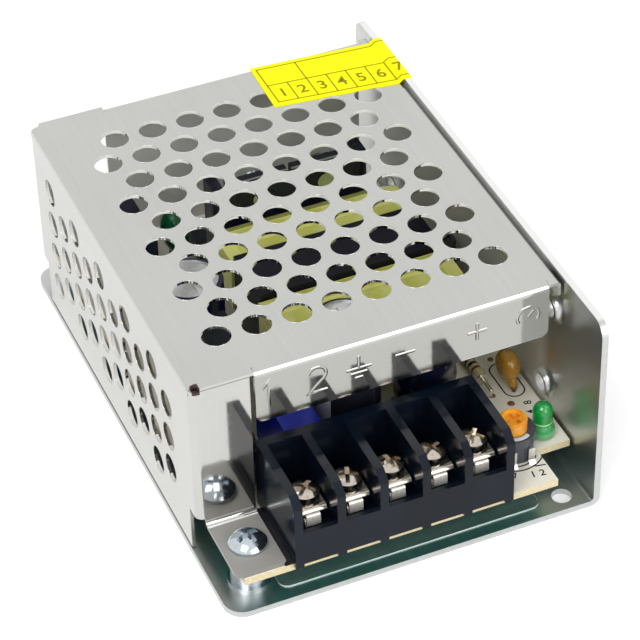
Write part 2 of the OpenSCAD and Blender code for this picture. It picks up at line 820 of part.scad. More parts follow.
// Thick dipped disc, round at its rim, that tapers down onto two splayed leads
module dipped_capacitor() {
  disc_d = 4.9;
  disc_t = 2.9;
  disc_z = 3.5;
  lead_gap = 4.6;
  rim = disc_t / 2;
  run_down = 3.1;
  lean = 35;
  color("goldenrod") translate([dipped_at[0], dipped_at[1], board_z1]) {
    translate([0, 0, disc_z]) rotate([0, 90, 0]) rotate_extrude() {
      translate([0, -rim]) square([disc_d / 2 - rim, disc_t]);
      intersection() {
        translate([disc_d / 2 - rim, 0]) circle(rim);
        translate([0, -rim]) square([disc_d, disc_t]);
      }
    }
    for (s = [-1, 1])
      translate([0, s * lead_gap / 2, 0]) {
        cylinder(d = lead_d, h = 0.6);
        translate([0, 0, 0.5]) rotate([s * lean, 0, 0])
          cylinder(d1 = lead_d + 0.4, d2 = disc_t - 0.5, h = run_down);
      }
  }
}

// Resistor that lies along Y with its leads bent down into the board
module band_resistor() {
  body_l = 6.3;
  body_d = 2;
  cap_l = 1.4;
  lead_l = 2.8;
  lie_z = 1.1;
  color("tan") translate([resistor_at[0], resistor_at[1], board_z1 + lie_z]) {
    rotate([90, 0, 0]) translate([0, 0, -body_l / 2]) {
      cylinder(d = body_d - 0.3, h = body_l);
      for (z = [0, body_l - cap_l]) translate([0, 0, z]) cylinder(d = body_d, h = cap_l);
      translate([0, 0, -0.8]) cylinder(d = lead_d, h = body_l + lead_l + 0.8);
    }
    for (y = [-body_l / 2 - lead_l, body_l / 2 + 0.8])
      translate([0, y, 0]) {
        sphere(d = lead_d);
        translate([0, 0, -lie_z]) cylinder(d = lead_d, h = lie_z);
      }
  }
}

// ---------- mains side ----------

module film_capacitor() {
  size = film_cap_size;
  color("blue") translate([film_cap_at[0] - size[0] / 2, film_cap_at[1] - size[1] / 2, board_z1])
    linear_extrude(size[2]) round_rect(size[0], size[1], 0.5);
}

module inlet_fuse() {
  color([0.2, 0.12, 0.1]) translate([fuse_at[0], fuse_at[1], board_z1])
    rotate_extrude() {
      square([fuse_d / 2, 7.2]);
      square([fuse_d / 2 - 0.5, 7.7]);
      translate([fuse_d / 2 - 0.5, 7.2]) circle(0.5);
    }
}

// Line choke: an E core with its winding on the middle leg
choke_size = [5, 9, 17.6];
choke_yoke = 2.6;
choke_leg = 1.3;
choke_post_d = 3;

module line_choke_core() {
  color([0.08, 0.08, 0.1]) translate([choke_at[0], choke_at[1], board_z1]) {
    difference() {
      translate([-choke_size[0] / 2, -choke_size[1] / 2, 0]) cube(choke_size);
      translate([-choke_size[0], -choke_size[1] / 2 + choke_leg, choke_yoke])
        cube([2 * choke_size[0], choke_size[1] - 2 * choke_leg, choke_size[2] - 2 * choke_yoke]);
    }
    translate([0, 0, choke_yoke - eps])
      cylinder(d = choke_post_d, h = choke_size[2] - 2 * choke_yoke + 2 * eps);
  }
}

module line_choke_winding() {
  w = choke_size[1] - 2 * choke_leg - 0.4;
  h = choke_size[2] - 2 * choke_yoke;
  color([0.45, 0.25, 0.1]) translate([choke_at[0], choke_at[1], board_z1 + choke_yoke])
    difference() {
      translate([-w / 2 - 0.6, -w / 2, 0]) linear_extrude(h) round_rect(w + 1.2, w, 2.4);
      translate([0, 0, -1]) cylinder(d = choke_post_d + 0.2, h = h + 2);
    }
}

module main_capacitor() {
  color([0.1, 0.1, 0.12]) translate([main_cap_at[0], main_cap_at[1], board_z1])
    electrolytic(main_cap_d, main_cap_h);
}

module inrush_limiter() {
  color([0.03, 0.25, 0.1]) translate([limiter_at[0], limiter_at[1], board_z1])
    leaded_disc(limiter_d, 4, 10.3);
}

module suppression_capacitor() {
  color([0.15, 0.35, 0.7]) translate([small_disc_at[0], small_disc_at[1], board_z1])
    leaded_disc(small_disc_d, 3, 5.6);
}

module bridge_rectifier() {
  size = bridge_size;
  lift = 2.2;
  leg_pitch = 3.8;
  color([0.1, 0.1, 0.13]) translate([bridge_at[0], bridge_at[1], board_z1]) {
    translate([-size[0] / 2, -size[1] / 2, lift]) cube(size);
    for (i = [0:3])
      translate([-0.3, (i - 1.5) * leg_pitch - 0.4, 0]) cube([0.6, 0.8, lift + eps]);
  }
}

// ---------- transformer ----------

module transformer_core() {
  color([0.07, 0.07, 0.09]) translate([core_at[0], core_at[1], core_z0]) {
    difference() {
      translate([-core_l / 2, -core_w / 2, 0]) cube([core_l, core_w, core_z1 - core_z0]);
      translate([-window_l / 2, -core_w, yoke_t])
        cube([window_l, 2 * core_w, core_z1 - core_z0 - 2 * yoke_t]);
    }
    translate([0, 0, yoke_t - eps])
      cylinder(d = core_post_d, h = core_z1 - core_z0 - 2 * yoke_t + 2 * eps);
  }
}

// Bobbin: a base under the lower yoke, pin rails beside it, a flange and a tube
module transformer_bobbin() {
  rail_w = 5;
  flange_z = winding_z0 - flange_t;
  tube_top = core_z1 - yoke_t - core_gap;
  base_w = core_w + 2 * core_gap + 2 * rail_w;
  color([0.12, 0.12, 0.12]) translate([core_at[0], core_at[1], 0]) difference() {
    union() {
      translate([-bobbin_l / 2, -base_w / 2, board_z1]) cube([bobbin_l, base_w, bobbin_base_t]);
      for (s = [0, 1]) mirror([0, s, 0])
        translate([-bobbin_l / 2, core_w / 2 + core_gap, board_z1])
          cube([bobbin_l, rail_w, winding_z0 - board_z1]);
      translate([-bobbin_l / 2, -base_w / 2, flange_z]) cube([bobbin_l, base_w, flange_t]);
      translate([0, 0, flange_z]) cylinder(d = core_post_d + 2.4, h = tube_top - flange_z);
    }
    translate([0, 0, core_z0]) cylinder(d = core_post_d + 2 * core_gap, h = core_top);
  }
}

// Taped winding: round the tube and between the core's legs, with a lobe as long as
// the core before and behind it
module transformer_winding() {
  r = 4;
  slot_w = core_w + 2 * core_gap;
  color([0.72, 0.74, 0.4]) translate([core_at[0], core_at[1], winding_z0]) difference() {
    translate([-lobe_l / 2, -winding_d / 2, 0])
      linear_extrude(winding_z1 - winding_z0) round_rect(lobe_l, winding_d, r);
    translate([0, 0, -1]) cylinder(d = core_post_d + 2.8, h = core_top);
    translate([-lobe_l, -slot_w / 2, core_z1 - yoke_t - core_gap - winding_z0])
      cube([2 * lobe_l, slot_w, core_top]);
    for (s = [0, 1]) {
      mirror([s, 0, 0]) translate([winding_l / 2, -slot_w / 2, -1]) cube([lobe_l, slot_w, core_top]);
      mirror([0, s, 0]) translate([-lobe_l, winding_d / 2 - 3, winding_z1 - winding_z0])
        rotate([-30, 0, 0]) cube([2 * lobe_l, 8, 4]);
    }
  }
}

// ---------- heat sink and its devices ----------

module heat_sink() {
  color([0.1, 0.1, 0.11]) translate([sink_at[0], sink_at[1], board_z1]) difference() {
    linear_extrude(sink_h) for (s = [0, 1]) mirror([s, 0])
      translate([-sink_l / 2, 0])
        folded_section(sink_l / 2 + eps, sink_d, sink_t, sink_t + 0.3);
    for (x = device_xs)
      translate([x - sink_at[0], -1, device_z + 12.6 - board_z1]) rotate([-90, 0, 0])
        cylinder(d = screw_d + 2 * thread_gap, h = sink_t + 2);
  }
}

module insulating_pads() {
  color("lightgray") for (x = device_xs)
    translate([x, device_y, device_z]) rotate([90, 0, 0]) linear_extrude(pad_t) difference() {
      translate([-device_w / 2, 0]) square([device_w, 15.4]);
      translate([0, 12.6]) circle(d = screw_d + 2 * pass_gap);
    }
}

// Power device in a flat case with a holed metal tab, whose back lies at y = 0
module power_device() {
  difference() {
    union() {
      translate([-device_w / 2, 0, 0]) cube([device_w, device_body_t, 9]);
      translate([-device_w / 2, 0, 0]) cube([device_w, device_tab_t, 15.4]);
      for (i = [-1:1])
        translate([i * 2.54 - 0.4, 2.2, board_z1 - device_z])
          cube([0.8, 0.5, device_z - board_z1 + eps]);
    }
    translate([0, -1, 12.6]) rotate([-90, 0, 0])
      cylinder(d = screw_d + 2 * pass_gap, h = device_tab_t + 2);
  }
}

module switching_transistor() {
  color([0.15, 0.15, 0.16]) translate([device_xs[0], device_y, device_z]) power_device();
}

module output_rectifier() {
  color([0.15, 0.15, 0.16]) translate([device_xs[1], device_y, device_z]) power_device();
}

module device_screws() {
  color("silver") for (x = device_xs)
    translate([x, device_y + device_tab_t, device_z + 12.6]) rotate([-90, 0, 0])
      pan_screw(head_d - 0.4, head_h, screw_d, device_tab_t + pad_t + sink_t);
}

// ---------- low parts at the rear, and the output filter ----------

module control_chip() {
  color([0.12, 0.12, 0.13]) translate([chip_at[0], chip_at[1], board_z1]) dual_in_line(9.6, 4);
}

module optocoupler() {
  color([0.9, 0.9, 0.86]) translate([opto_at[0], opto_at[1], board_z1]) dual_in_line(4.6, 2);
}

module bias_capacitor() {
  color([0.1, 0.1, 0.12]) translate([bias_cap_at[0], bias_cap_at[1], board_z1])
    electrolytic(5, 11);
}

module output_capacitors() {
  color([0.1, 0.1, 0.12]) {
    translate([tall_cap_at[0], tall_cap_at[1], board_z1]) electrolytic(tall_cap_d, tall_cap_h);
    translate([small_cap_at[0], small_cap_at[1], board_z1]) electrolytic(small_cap_d, 11);
  }
}

module output_choke_core() {
  color([0.07, 0.07, 0.09]) translate([out_choke_at[0], out_choke_at[1], board_z1])
    drum_core(out_choke_d, out_choke_h, 5, 1.4);
}

module output_choke_winding() {
  color([0.5, 0.28, 0.12]) translate([out_choke_at[0], out_choke_at[1], board_z1 + 1.4])
    difference() {
      cylinder(d = out_choke_d - 1, h = out_choke_h - 2.8);
      translate([0, 0, -1]) cylinder(d = 5.2, h = out_choke_h);
    }
}

base_chassis();
top_cover();
seal_sticker();
front_foot_screw();
rear_foot_screw();
insulating_film();
board_standoffs();
circuit_board();
board_screws();
terminal_housing();
terminal_strips();
clamp_plate(1);  // clamp_plate_1
clamp_plate(2);  // clamp_plate_2
clamp_plate(3);  // clamp_plate_3
clamp_plate(4);  // clamp_plate_4
clamp_plate(5);  // clamp_plate_5
clamp_screw(1);  // clamp_screw_1
clamp_screw(2);  // clamp_screw_2
clamp_screw(3);  // clamp_screw_3
clamp_screw(4);  // clamp_screw_4
clamp_screw(5);  // clamp_screw_5
lock_washer(1);  // lock_washer_1
lock_washer(2);  // lock_washer_2
lock_washer(3);  // lock_washer_3
lock_washer(4);  // lock_washer_4
lock_washer(5);  // lock_washer_5
trimmer_body();
trimmer_rotor();
indicator_led();
dipped_capacitor();
band_resistor();
film_capacitor();
inlet_fuse();
line_choke_core();
line_choke_winding();
main_capacitor();
inrush_limiter();
suppression_capacitor();
bridge_rectifier();
transformer_core();
transformer_bobbin();
transformer_winding();
heat_sink();
insulating_pads();
switching_transistor();
output_rectifier();
device_screws();
control_chip();
optocoupler();
bias_capacitor();
output_capacitors();
output_choke_core();
output_choke_winding();
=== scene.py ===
"""Looks of a mesh case switching power supply: finishes, printed marks and fine detail.

Lengths are in metres, apart from those that a docstring says are in millimetres. X runs
along the terminal row, Y to the rear, Z up, and the origin is the centre of the base
plate's underside.
"""

import logging
import math
from dataclasses import dataclass
from enum import Enum
from functools import partial
from typing import Callable, Sequence

import bmesh
import bpy
from mathutils import Matrix, Vector


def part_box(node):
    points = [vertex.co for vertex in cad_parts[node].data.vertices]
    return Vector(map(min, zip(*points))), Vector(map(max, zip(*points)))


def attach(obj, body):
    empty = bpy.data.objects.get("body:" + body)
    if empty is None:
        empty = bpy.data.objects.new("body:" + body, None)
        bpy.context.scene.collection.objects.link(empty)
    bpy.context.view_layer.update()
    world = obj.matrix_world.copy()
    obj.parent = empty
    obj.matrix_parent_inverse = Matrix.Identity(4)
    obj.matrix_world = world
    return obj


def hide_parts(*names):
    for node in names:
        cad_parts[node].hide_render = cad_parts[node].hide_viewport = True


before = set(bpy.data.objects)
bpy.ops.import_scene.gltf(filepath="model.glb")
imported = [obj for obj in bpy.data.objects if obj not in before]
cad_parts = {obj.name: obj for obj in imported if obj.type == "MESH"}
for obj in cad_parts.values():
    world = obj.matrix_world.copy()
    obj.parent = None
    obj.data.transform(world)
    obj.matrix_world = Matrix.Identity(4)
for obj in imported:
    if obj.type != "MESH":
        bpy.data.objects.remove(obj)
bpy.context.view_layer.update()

MM = 0.001
BODY = "case"
BOARD_TOP = 7.2 * MM
BOARD_UNDERSIDE = 6.0 * MM
LID_TOP = 33.3 * MM
LOG = logging.getLogger("power_supply")

NodeSocket = bpy.types.NodeSocket
Colour = tuple[float, float, float]
Point = tuple[float, float, float]
Flat = tuple[float, float]
Feed = NodeSocket | float | Sequence[float]
Place = Callable[[float, float, float], Point]


class Grain(Enum):
    """How far a material's noise is drawn out along X, Y and Z. A smaller number draws it further."""

    EVEN = (1.0, 1.0, 1.0)
    ROLLED = (1.0, 0.04, 1.0)
    WOVEN = (1.0, 0.2, 1.0)
    WRAPPED = (0.35, 0.35, 1.0)


@dataclass(frozen=True)
class Zone:
    """A box, its corners in millimetres, inside which a surface differs."""

    low: Point
    high: Point
    colour: Colour
    metallic: float = 1.0
    duller: float = 0.0
    soft: float = 0.1 * MM


def scaled(colour: Colour, share: float) -> Colour:
    """Return a colour made lighter or darker.

    Args:
        colour: The colour.
        share: What each of its parts is multiplied by.

    Returns:
        The new colour, with no part over 1.
    """
    return tuple(min(1.0, part * share) for part in colour)


class Wiring:
    """A node tree being wired."""

    def __init__(self, tree: bpy.types.NodeTree) -> None:
        """Start on a tree.

        Args:
            tree: The tree that the nodes go into.
        """
        self.tree = tree

    def feed(self, socket: NodeSocket, value: Feed) -> None:
        """Link an output into a socket, or set the socket to a value.

        Args:
            socket: The input.
            value: Another node's output, or a value.
        """
        if isinstance(value, NodeSocket):
            self.tree.links.new(value, socket)
        else:
            socket.default_value = value

    def node(
        self, kind: str, feeds: dict[str | int, Feed] | None = None, **settings: str
    ) -> bpy.types.Node:
        """Add a node.

        Args:
            kind: The node's type.
            feeds: What goes into its inputs, by their name or number.
            settings: The node's own settings, made before its inputs are fed.

        Returns:
            The new node.
        """
        node = self.tree.nodes.new(kind)
        for label, value in settings.items():
            setattr(node, label, value)
        for label, value in (feeds or {}).items():
            self.feed(node.inputs[label], value)
        return node

    def math(self, operation: str, *values: Feed) -> NodeSocket:
        """Return the result of one arithmetic operation.

        Args:
            operation: Its name.
            values: Outputs or numbers, in order.

        Returns:
            The output that holds the result.
        """
        return self.node("ShaderNodeMath", dict(enumerate(values)), operation=operation).outputs[0]


class Shader(Wiring):
    """A material being wired: one Principled shader and the nodes that feed it."""

    def __init__(self, name: str, **values: Feed) -> None:
        """Start a material.

        Args:
            name: The finish's name.
            values: What the Principled shader is first set to.
        """
        self.material = bpy.data.materials.new(name)
        self.material.use_nodes = True
        super().__init__(self.material.node_tree)
        self.bsdf = self.tree.nodes["Principled BSDF"]
        self.coords = self.node("ShaderNodeTexCoord").outputs["Object"]
        self.set(**values)

    def set(self, **values: Feed) -> None:
        """Set or link sockets of the Principled shader.

        Args:
            values: A value or an output for each socket, an underscore standing for a space.
        """
        for label, value in values.items():
            self.feed(self.bsdf.inputs[label.replace("_", " ")], value)

    def noise(self, size: float, detail: float = 3.0, grain: Grain = Grain.EVEN) -> NodeSocket:
        """Return noise on object coordinates.

        Args:
            size: Rough size of its features in metres.
            detail: Number of finer layers.
            grain: Which way it is drawn out.

        Returns:
            The noise value, from 0 to 1.
        """
        place = self.node("ShaderNodeMapping", {"Vector": self.coords, "Scale": grain.value})
        feeds = {"Vector": place.outputs["Vector"], "Scale": 1.0 / size, "Detail": detail}
        return self.node("ShaderNodeTexNoise", feeds).outputs["Fac"]

    def spread(
        self, value: NodeSocket, low: float, high: float, start: float = 0.3, end: float = 0.7
    ) -> NodeSocket:
        """Return value mapped from start..end to low..high, and held there beyond the ends."""
        feeds = {"Value": value, "From Min": start, "From Max": end, "To Min": low, "To Max": high}
        return self.node("ShaderNodeMapRange", feeds).outputs["Result"]

    def mix(self, factor: NodeSocket, first: Feed, second: Feed) -> NodeSocket:
        """Return a blend of two colours.

        Args:
            factor: 0 for the first, 1 for the second.
            first: A fixed colour or another node's output.
            second: The same.

        Returns:
            The output that holds the blend.
        """
        ends = [c if isinstance(c, NodeSocket) else (*c, 1.0) for c in (first, second)]
        feeds = {"Factor": factor, 6: ends[0], 7: ends[1]}
        return self.node("ShaderNodeMix", feeds, data_type="RGBA").outputs[2]

    def mottle(self, pattern: NodeSocket, first: Feed, second: Feed) -> NodeSocket:
        """Return a colour that wanders between two as a noise pattern does."""
        return self.mix(self.spread(pattern, 0, 1), first, second)

    def axis(self, name: str) -> NodeSocket:
        """Return one object coordinate, X, Y or Z."""
        return self.node("ShaderNodeSeparateXYZ", {"Vector": self.coords}).outputs[name]

    def off(self, name: str, level: float) -> NodeSocket:
        """Return how far the surface is from a level along X, Y or Z, to either side."""
        return self.math("ABSOLUTE", self.math("SUBTRACT", self.axis(name), level))

    def normal(self) -> NodeSocket:
        """Return the surface normal."""
        return self.node("ShaderNodeNewGeometry").outputs["True Normal"]

    def upward(self) -> NodeSocket:
        """Return how far the surface faces up, from -1 to 1."""
        return self.node("ShaderNodeSeparateXYZ", {"Vector": self.normal()}).outputs["Z"]

    def inwards(self, middle: Vector) -> NodeSocket:
        """Return 1 where the surface faces a point and 0 where it faces away from it."""
        kind = "ShaderNodeVectorMath"
        away = self.node(kind, {0: self.coords, 1: middle}, operation="SUBTRACT").outputs[0]
        dot = self.node(kind, {0: away, 1: self.normal()}, operation="DOT_PRODUCT")
        return self.math("LESS_THAN", dot.outputs["Value"], 0.0)

    def within(self, zone: Zone) -> NodeSocket:
        """Return 1 inside a zone and 0 outside it, fading over its soft edge."""
        found: Feed = 1.0
        for name, low, high in zip("XYZ", zone.low, zone.high):
            along = self.axis(name)
            start, end = low * MM, high * MM
            rise = self.spread(along, 0, 1, start - zone.soft, start + zone.soft)
            fall = self.spread(along, 1, 0, end - zone.soft, end + zone.soft)
            found = self.math("MULTIPLY", self.math("MULTIPLY", found, rise), fall)
        return found

    def bump(self, height: NodeSocket, depth: float, strength: float = 1.0) -> None:
        """Press a pattern into the surface, on top of earlier ones.

        Args:
            height: The pattern.
            depth: Its depth in metres.
            strength: How much it counts.
        """
        feeds = {"Strength": strength, "Distance": depth, "Height": height}
        socket = self.bsdf.inputs["Normal"]
        if socket.is_linked:
            feeds["Normal"] = socket.links[0].from_socket
        self.feed(socket, self.node("ShaderNodeBump", feeds).outputs["Normal"])


@dataclass(frozen=True)
class Finish:
    """What every finish has: a name, and a way to be built."""

    name: str

    def paint(self, s: Shader) -> None:
        """Wire the finish's colour, roughness and relief.

        Args:
            s: The material being wired.
        """
        raise NotImplementedError

    def build(self) -> bpy.types.Material:
        """Return the finished material."""
        s = Shader(self.name)
        self.paint(s)
        return s.material


@dataclass(frozen=True)
class SheetMetal(Finish):
    """Plated sheet: a faint rolled grain and soft cloudy patches, painted light on its inner faces if
    asked, and other colours in given boxes, some of them painted light or shade.
    """

    colour: Colour
    roughness: float
    grain_size: float = 0.9 * MM
    grain_depth: float = 0.004 * MM
    cloud: float = 0.06
    cloud_size: float = 14 * MM
    wave_size: float = 22 * MM
    inside_duller: float = 0.0
    inside_metallic: float = 0.2
    inside_painted_light: Colour = (0.90, 0.90, 0.86)
    zones: tuple[Zone, ...] = ()

    def paint(self, s: Shader) -> None:
        """Wire the finish."""
        fine = s.noise(self.grain_size, 4, Grain.ROLLED)
        cloud = s.noise(self.cloud_size)
        mixed = s.math("ADD", s.math("MULTIPLY", fine, 0.45), s.math("MULTIPLY", cloud, 0.55))
        dark, light = scaled(self.colour, 1 - self.cloud), scaled(self.colour, 1 + self.cloud)
        colour = s.mix(s.spread(mixed, 0, 1, 0.35, 0.65), dark, light)
        rough = s.math("ADD", s.spread(fine, -0.02, 0.03), s.spread(cloud, -0.01, 0.02))
        rough = s.math("ADD", rough, self.roughness)
        metallic: Feed = 1.0
        # Painted light: faces turned towards the cover's middle get a pale, less metallic colour, and are
        # duller.
        if self.inside_duller:
            inside = s.inwards(centre("top_cover"))
            colour = s.mix(inside, colour, self.inside_painted_light)
            rough = s.math("MULTIPLY_ADD", inside, self.inside_duller, rough)
            metallic = s.spread(inside, 1.0, self.inside_metallic, 0, 1)
        for zone in self.zones:
            near = s.within(zone)
            colour = s.mix(near, colour, zone.colour)
            rough = s.math("MULTIPLY_ADD", near, zone.duller, rough)
            metallic = s.math("MINIMUM", metallic, s.spread(near, 1.0, zone.metallic, 0, 1))
        s.set(Base_Color=colour, Roughness=rough, Metallic=metallic)
        s.bump(fine, self.grain_depth, 0.35)
        s.bump(s.noise(self.wave_size, 1), 0.05 * MM, 0.5)


@dataclass(frozen=True)
class Plating(Finish):
    """Bright plated metal on small hardware, a little darker in its worn patches."""

    colour: Colour
    roughness: float = 0.16
    tint: Colour = (0.45, 0.36, 0.26)
    tint_amount: float = 0.25
    metallic: float = 1.0

    def paint(self, s: Shader) -> None:
        """Wire the finish."""
        s.set(Metallic=self.metallic)
        patches = s.noise(0.8 * MM, 4)
        worn = s.spread(patches, 0, self.tint_amount, 0.45, 0.75)
        s.set(
            Base_Color=s.mix(worn, self.colour, self.tint),
            Roughness=s.spread(patches, self.roughness - 0.04, self.roughness + 0.10),
        )
        s.bump(s.noise(0.35 * MM, 2), 0.006 * MM, 0.5)


@dataclass(frozen=True)
class Moulded(Finish):
    """Moulded plastic: a fine matt texture over slow flow marks."""

    colour: Colour
    roughness: float = 0.42
    texture: float = 0.008 * MM
    sheen: Colour = (0.03, 0.04, 0.06)
    coat: float = 0.0
    shine: float = 0.5

    def paint(self, s: Shader) -> None:
        """Wire the finish."""
        s.set(Coat_Weight=self.coat, Coat_Roughness=0.12, IOR=1.5, Specular_IOR_Level=self.shine)
        flow = s.noise(5 * MM)
        lighter = tuple(min(1.0, c + t * 0.3) for c, t in zip(self.colour, self.sheen))
        s.set(
            Base_Color=s.mottle(flow, self.colour, lighter),
            Roughness=s.spread(flow, self.roughness - 0.05, self.roughness + 0.07),
        )
        s.bump(s.noise(0.18 * MM), self.texture, 0.6)


@dataclass(frozen=True)
class Resin(Finish):
    """Dipped or cast resin: glossy, slightly uneven, with another colour at its foot if one is given."""

    colour: Colour
    deep: Colour
    roughness: float = 0.16
    lump: float = 1.6 * MM
    lump_depth: float = 0.05 * MM
    glow: float = 0.0
    foot: Colour | None = None
    foot_from: float = 0.0
    foot_to: float = 0.0
    glint: float = 0.0
    glint_half: float = 0.13 * MM
    glint_colour: Colour = (0.30, 0.90, 0.28)

    def paint(self, s: Shader) -> None:
        """Wire the finish."""
        s.set(Coat_Weight=0.6, Coat_Roughness=0.06, IOR=1.52)
        if self.glow:
            s.set(Subsurface_Weight=self.glow, Subsurface_Radius=(1.0, 1.0, 1.0))
            s.set(Subsurface_Scale=0.6 * MM)
        lumps = s.noise(self.lump, 2)
        colour = s.mottle(lumps, self.colour, self.deep)
        if self.foot:
            low = s.spread(s.axis("Z"), 1, 0, self.foot_from, self.foot_to)
            colour = s.mix(low, colour, self.foot)
        if self.glint:
            lit = s.math("LESS_THAN", s.off("Z", self.glint), self.glint_half)
            colour = s.mix(lit, colour, self.glint_colour)
        rough = s.spread(lumps, self.roughness - 0.03, self.roughness + 0.08)
        s.set(Base_Color=colour, Roughness=rough)
        s.bump(lumps, self.lump_depth, 0.4)


@dataclass(frozen=True)
class BoardResin(Finish):
    """Circuit board: printed side up, copper side down, and raw at its cut edges."""

    name: str = "board_resin"
    top: Colour = (0.86, 0.83, 0.72)
    under: Colour = (0.004, 0.28, 0.24)
    edge: Colour = (0.72, 0.62, 0.38)
    shaded: Zone = Zone((-20.4, -45, 7.1), (-18.9, -29.8, 8), (0.012, 0.012, 0.014), soft=0.03 * MM)

    def paint(self, s: Shader) -> None:
        """Wire the finish."""
        s.set(IOR=1.5)
        fibres = s.noise(0.5 * MM, 4, Grain.WOVEN)
        facing = s.upward()
        up = s.spread(facing, 0, 1, 0.4, 0.6)
        down = s.spread(facing, 1, 0, -0.6, -0.4)
        cream = s.mottle(fibres, self.top, scaled(self.top, 0.93))
        cream = s.mix(s.within(self.shaded), cream, self.shaded.colour)
        raw = s.mottle(fibres, self.edge, scaled(self.edge, 0.82))
        colour = s.mix(down, s.mix(up, raw, cream), self.under)
        s.set(Base_Color=colour, Roughness=s.spread(fibres, 0.32, 0.42))
        s.bump(fibres, 0.01 * MM, 0.4)


@dataclass(frozen=True)
class Film(Finish):
    """Thin clear film with soft ripples, nearly opaque at its upright edges."""

    name: str = "clear_film"
    tint: Colour = (0.55, 0.80, 0.72)
    pale: Colour = (0.8, 0.9, 0.86)
    clear: float = 0.07
    edge: float = 0.8

    def paint(self, s: Shader) -> None:
        """Wire the finish."""
        s.set(Roughness=0.12, IOR=1.45)
        ripples = s.noise(9 * MM, 2)
        upright = s.math("LESS_THAN", s.math("ABSOLUTE", s.upward()), 0.5)
        s.set(
            Alpha=s.spread(upright, self.clear, self.edge, 0, 1),
            Base_Color=s.mottle(ripples, self.tint, self.pale),
        )
        s.bump(ripples, 0.15 * MM, 0.5)


@dataclass(frozen=True)
class Print(Finish):
    """Flat ink or paper, with a faint fibre."""

    colour: Colour
    roughness: float = 0.5

    def paint(self, s: Shader) -> None:
        """Wire the finish."""
        s.set(Roughness=self.roughness, Specular_IOR_Level=0.12)
        fibre = s.noise(0.4 * MM)
        s.set(Base_Color=s.mottle(fibre, self.colour, scaled(self.colour, 0.95)))
        s.bump(fibre, 0.004 * MM, 0.4)


@dataclass(frozen=True)
class Tape(Finish):
    """Layered polyester tape round a winding: glossy and creased."""

    name: str = "yellow_tape"
    colour: Colour = (0.96, 0.97, 0.34)
    deep: Colour = (0.86, 0.88, 0.22)

    def paint(self, s: Shader) -> None:
        """Wire the finish."""
        s.set(Coat_Weight=0.5, Coat_Roughness=0.10, IOR=1.5)
        creases = s.noise(4 * MM, 3, Grain.WRAPPED)
        s.set(
            Base_Color=s.mottle(creases, self.colour, self.deep),
            Roughness=s.spread(creases, 0.18, 0.32),
        )
        s.bump(creases, 0.25 * MM, 0.5)


@dataclass(frozen=True)
class BandedResin(Finish):
    """Dipped resistor that lies along Y: its painted bands, and its bare wires beyond the body."""

    name: str = "tan_resin"
    colour: Colour = (0.62, 0.52, 0.32)
    wire: Colour = (0.66, 0.62, 0.56)
    bands: tuple[tuple[float, Colour], ...] = (
        (1.9 * MM, (0.16, 0.02, 0.02)),
        (0.9 * MM, (0.02, 0.015, 0.015)),
        (-0.15 * MM, (0.01, 0.008, 0.008)),
        (-1.25 * MM, (0.14, 0.015, 0.015)),
    )
    band_half: float = 0.25 * MM
    body_half: float = 3.2 * MM
    rear_wire: float = 0.8 * MM

    def paint(self, s: Shader) -> None:
        """Wire the finish."""
        s.set(Coat_Weight=0.5, Coat_Roughness=0.08, IOR=1.5)
        _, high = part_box("band_resistor")
        middle = high.y - self.rear_wire - self.body_half
        lumps = s.noise(0.9 * MM, 2)
        colour = s.mottle(lumps, self.colour, scaled(self.colour, 0.85))
        for at, ink in self.bands:
            near = s.math("LESS_THAN", s.off("Y", middle + at), self.band_half)
            colour = s.mix(near, colour, ink)
        bare = s.math("GREATER_THAN", s.off("Y", middle), self.body_half)
        s.set(
            Base_Color=s.mix(bare, colour, self.wire), Metallic=bare, Roughness=s.spread(lumps, 0.16, 0.26)
        )
        s.bump(lumps, 0.03 * MM, 0.4)


@dataclass(frozen=True)
class CanSleeve(Finish):
    """Capacitor can: shrunk black sleeve with a pale stripe, and a bare scored top."""

    axis_at: Flat
    radius: float
    top: float
    sleeve: Colour = (0.012, 0.013, 0.022)
    stripe: Colour = (0.42, 0.44, 0.48)
    stripe_turn: float = math.radians(200.0)
    stripe_from: float = 0.94
    metal: Colour = (0.72, 0.73, 0.74)
    rim: float = 0.75 * MM
    lip: float = 0.6 * MM

    def paint(self, s: Shader) -> None:
        """Wire the finish."""
        dx, dy = (s.math("SUBTRACT", s.axis(name), at) for name, at in zip("XY", self.axis_at))
        reach = s.math("SQRT", s.math("MULTIPLY_ADD", dx, dx, s.math("MULTIPLY", dy, dy)))
        inside = s.math("LESS_THAN", reach, self.radius - self.rim)
        high = s.math("GREATER_THAN", s.axis("Z"), self.top - self.lip)
        bare = s.math("MULTIPLY", inside, high)
        grain = s.noise(0.6 * MM)
        metal = s.mottle(grain, self.metal, scaled(self.metal, 0.85))
        ahead = s.math("MULTIPLY", dy, math.sin(self.stripe_turn))
        ahead = s.math("MULTIPLY_ADD", dx, math.cos(self.stripe_turn), ahead)
        striped = s.math("GREATER_THAN", s.math("DIVIDE", ahead, reach), self.stripe_from)
        wall = s.mix(striped, self.sleeve, self.stripe)
        rough = s.spread(bare, 0.22, 0.35, 0, 1)
        s.set(Base_Color=s.mix(bare, wall, metal), Metallic=bare, Roughness=rough)
        s.bump(grain, 0.004 * MM, 0.5)


# Painted light: the inner face of the chassis's right wall is painted pale, less metallic and duller.
WALL_INSIDE_PAINTED_LIGHT = Zone((24, -26, 1.6), (28.4, 45, 33.2), (0.86, 0.86, 0.83), 0.2, 0.25, 1.5 * MM)
# Painted highlight: a band along the top cut edge of the chassis's right wall is painted nearly white.
WALL_EDGE_PAINTED_HIGHLIGHT = Zone((27, -45, 33.85), (30, 45, 36), (0.88, 0.88, 0.87))
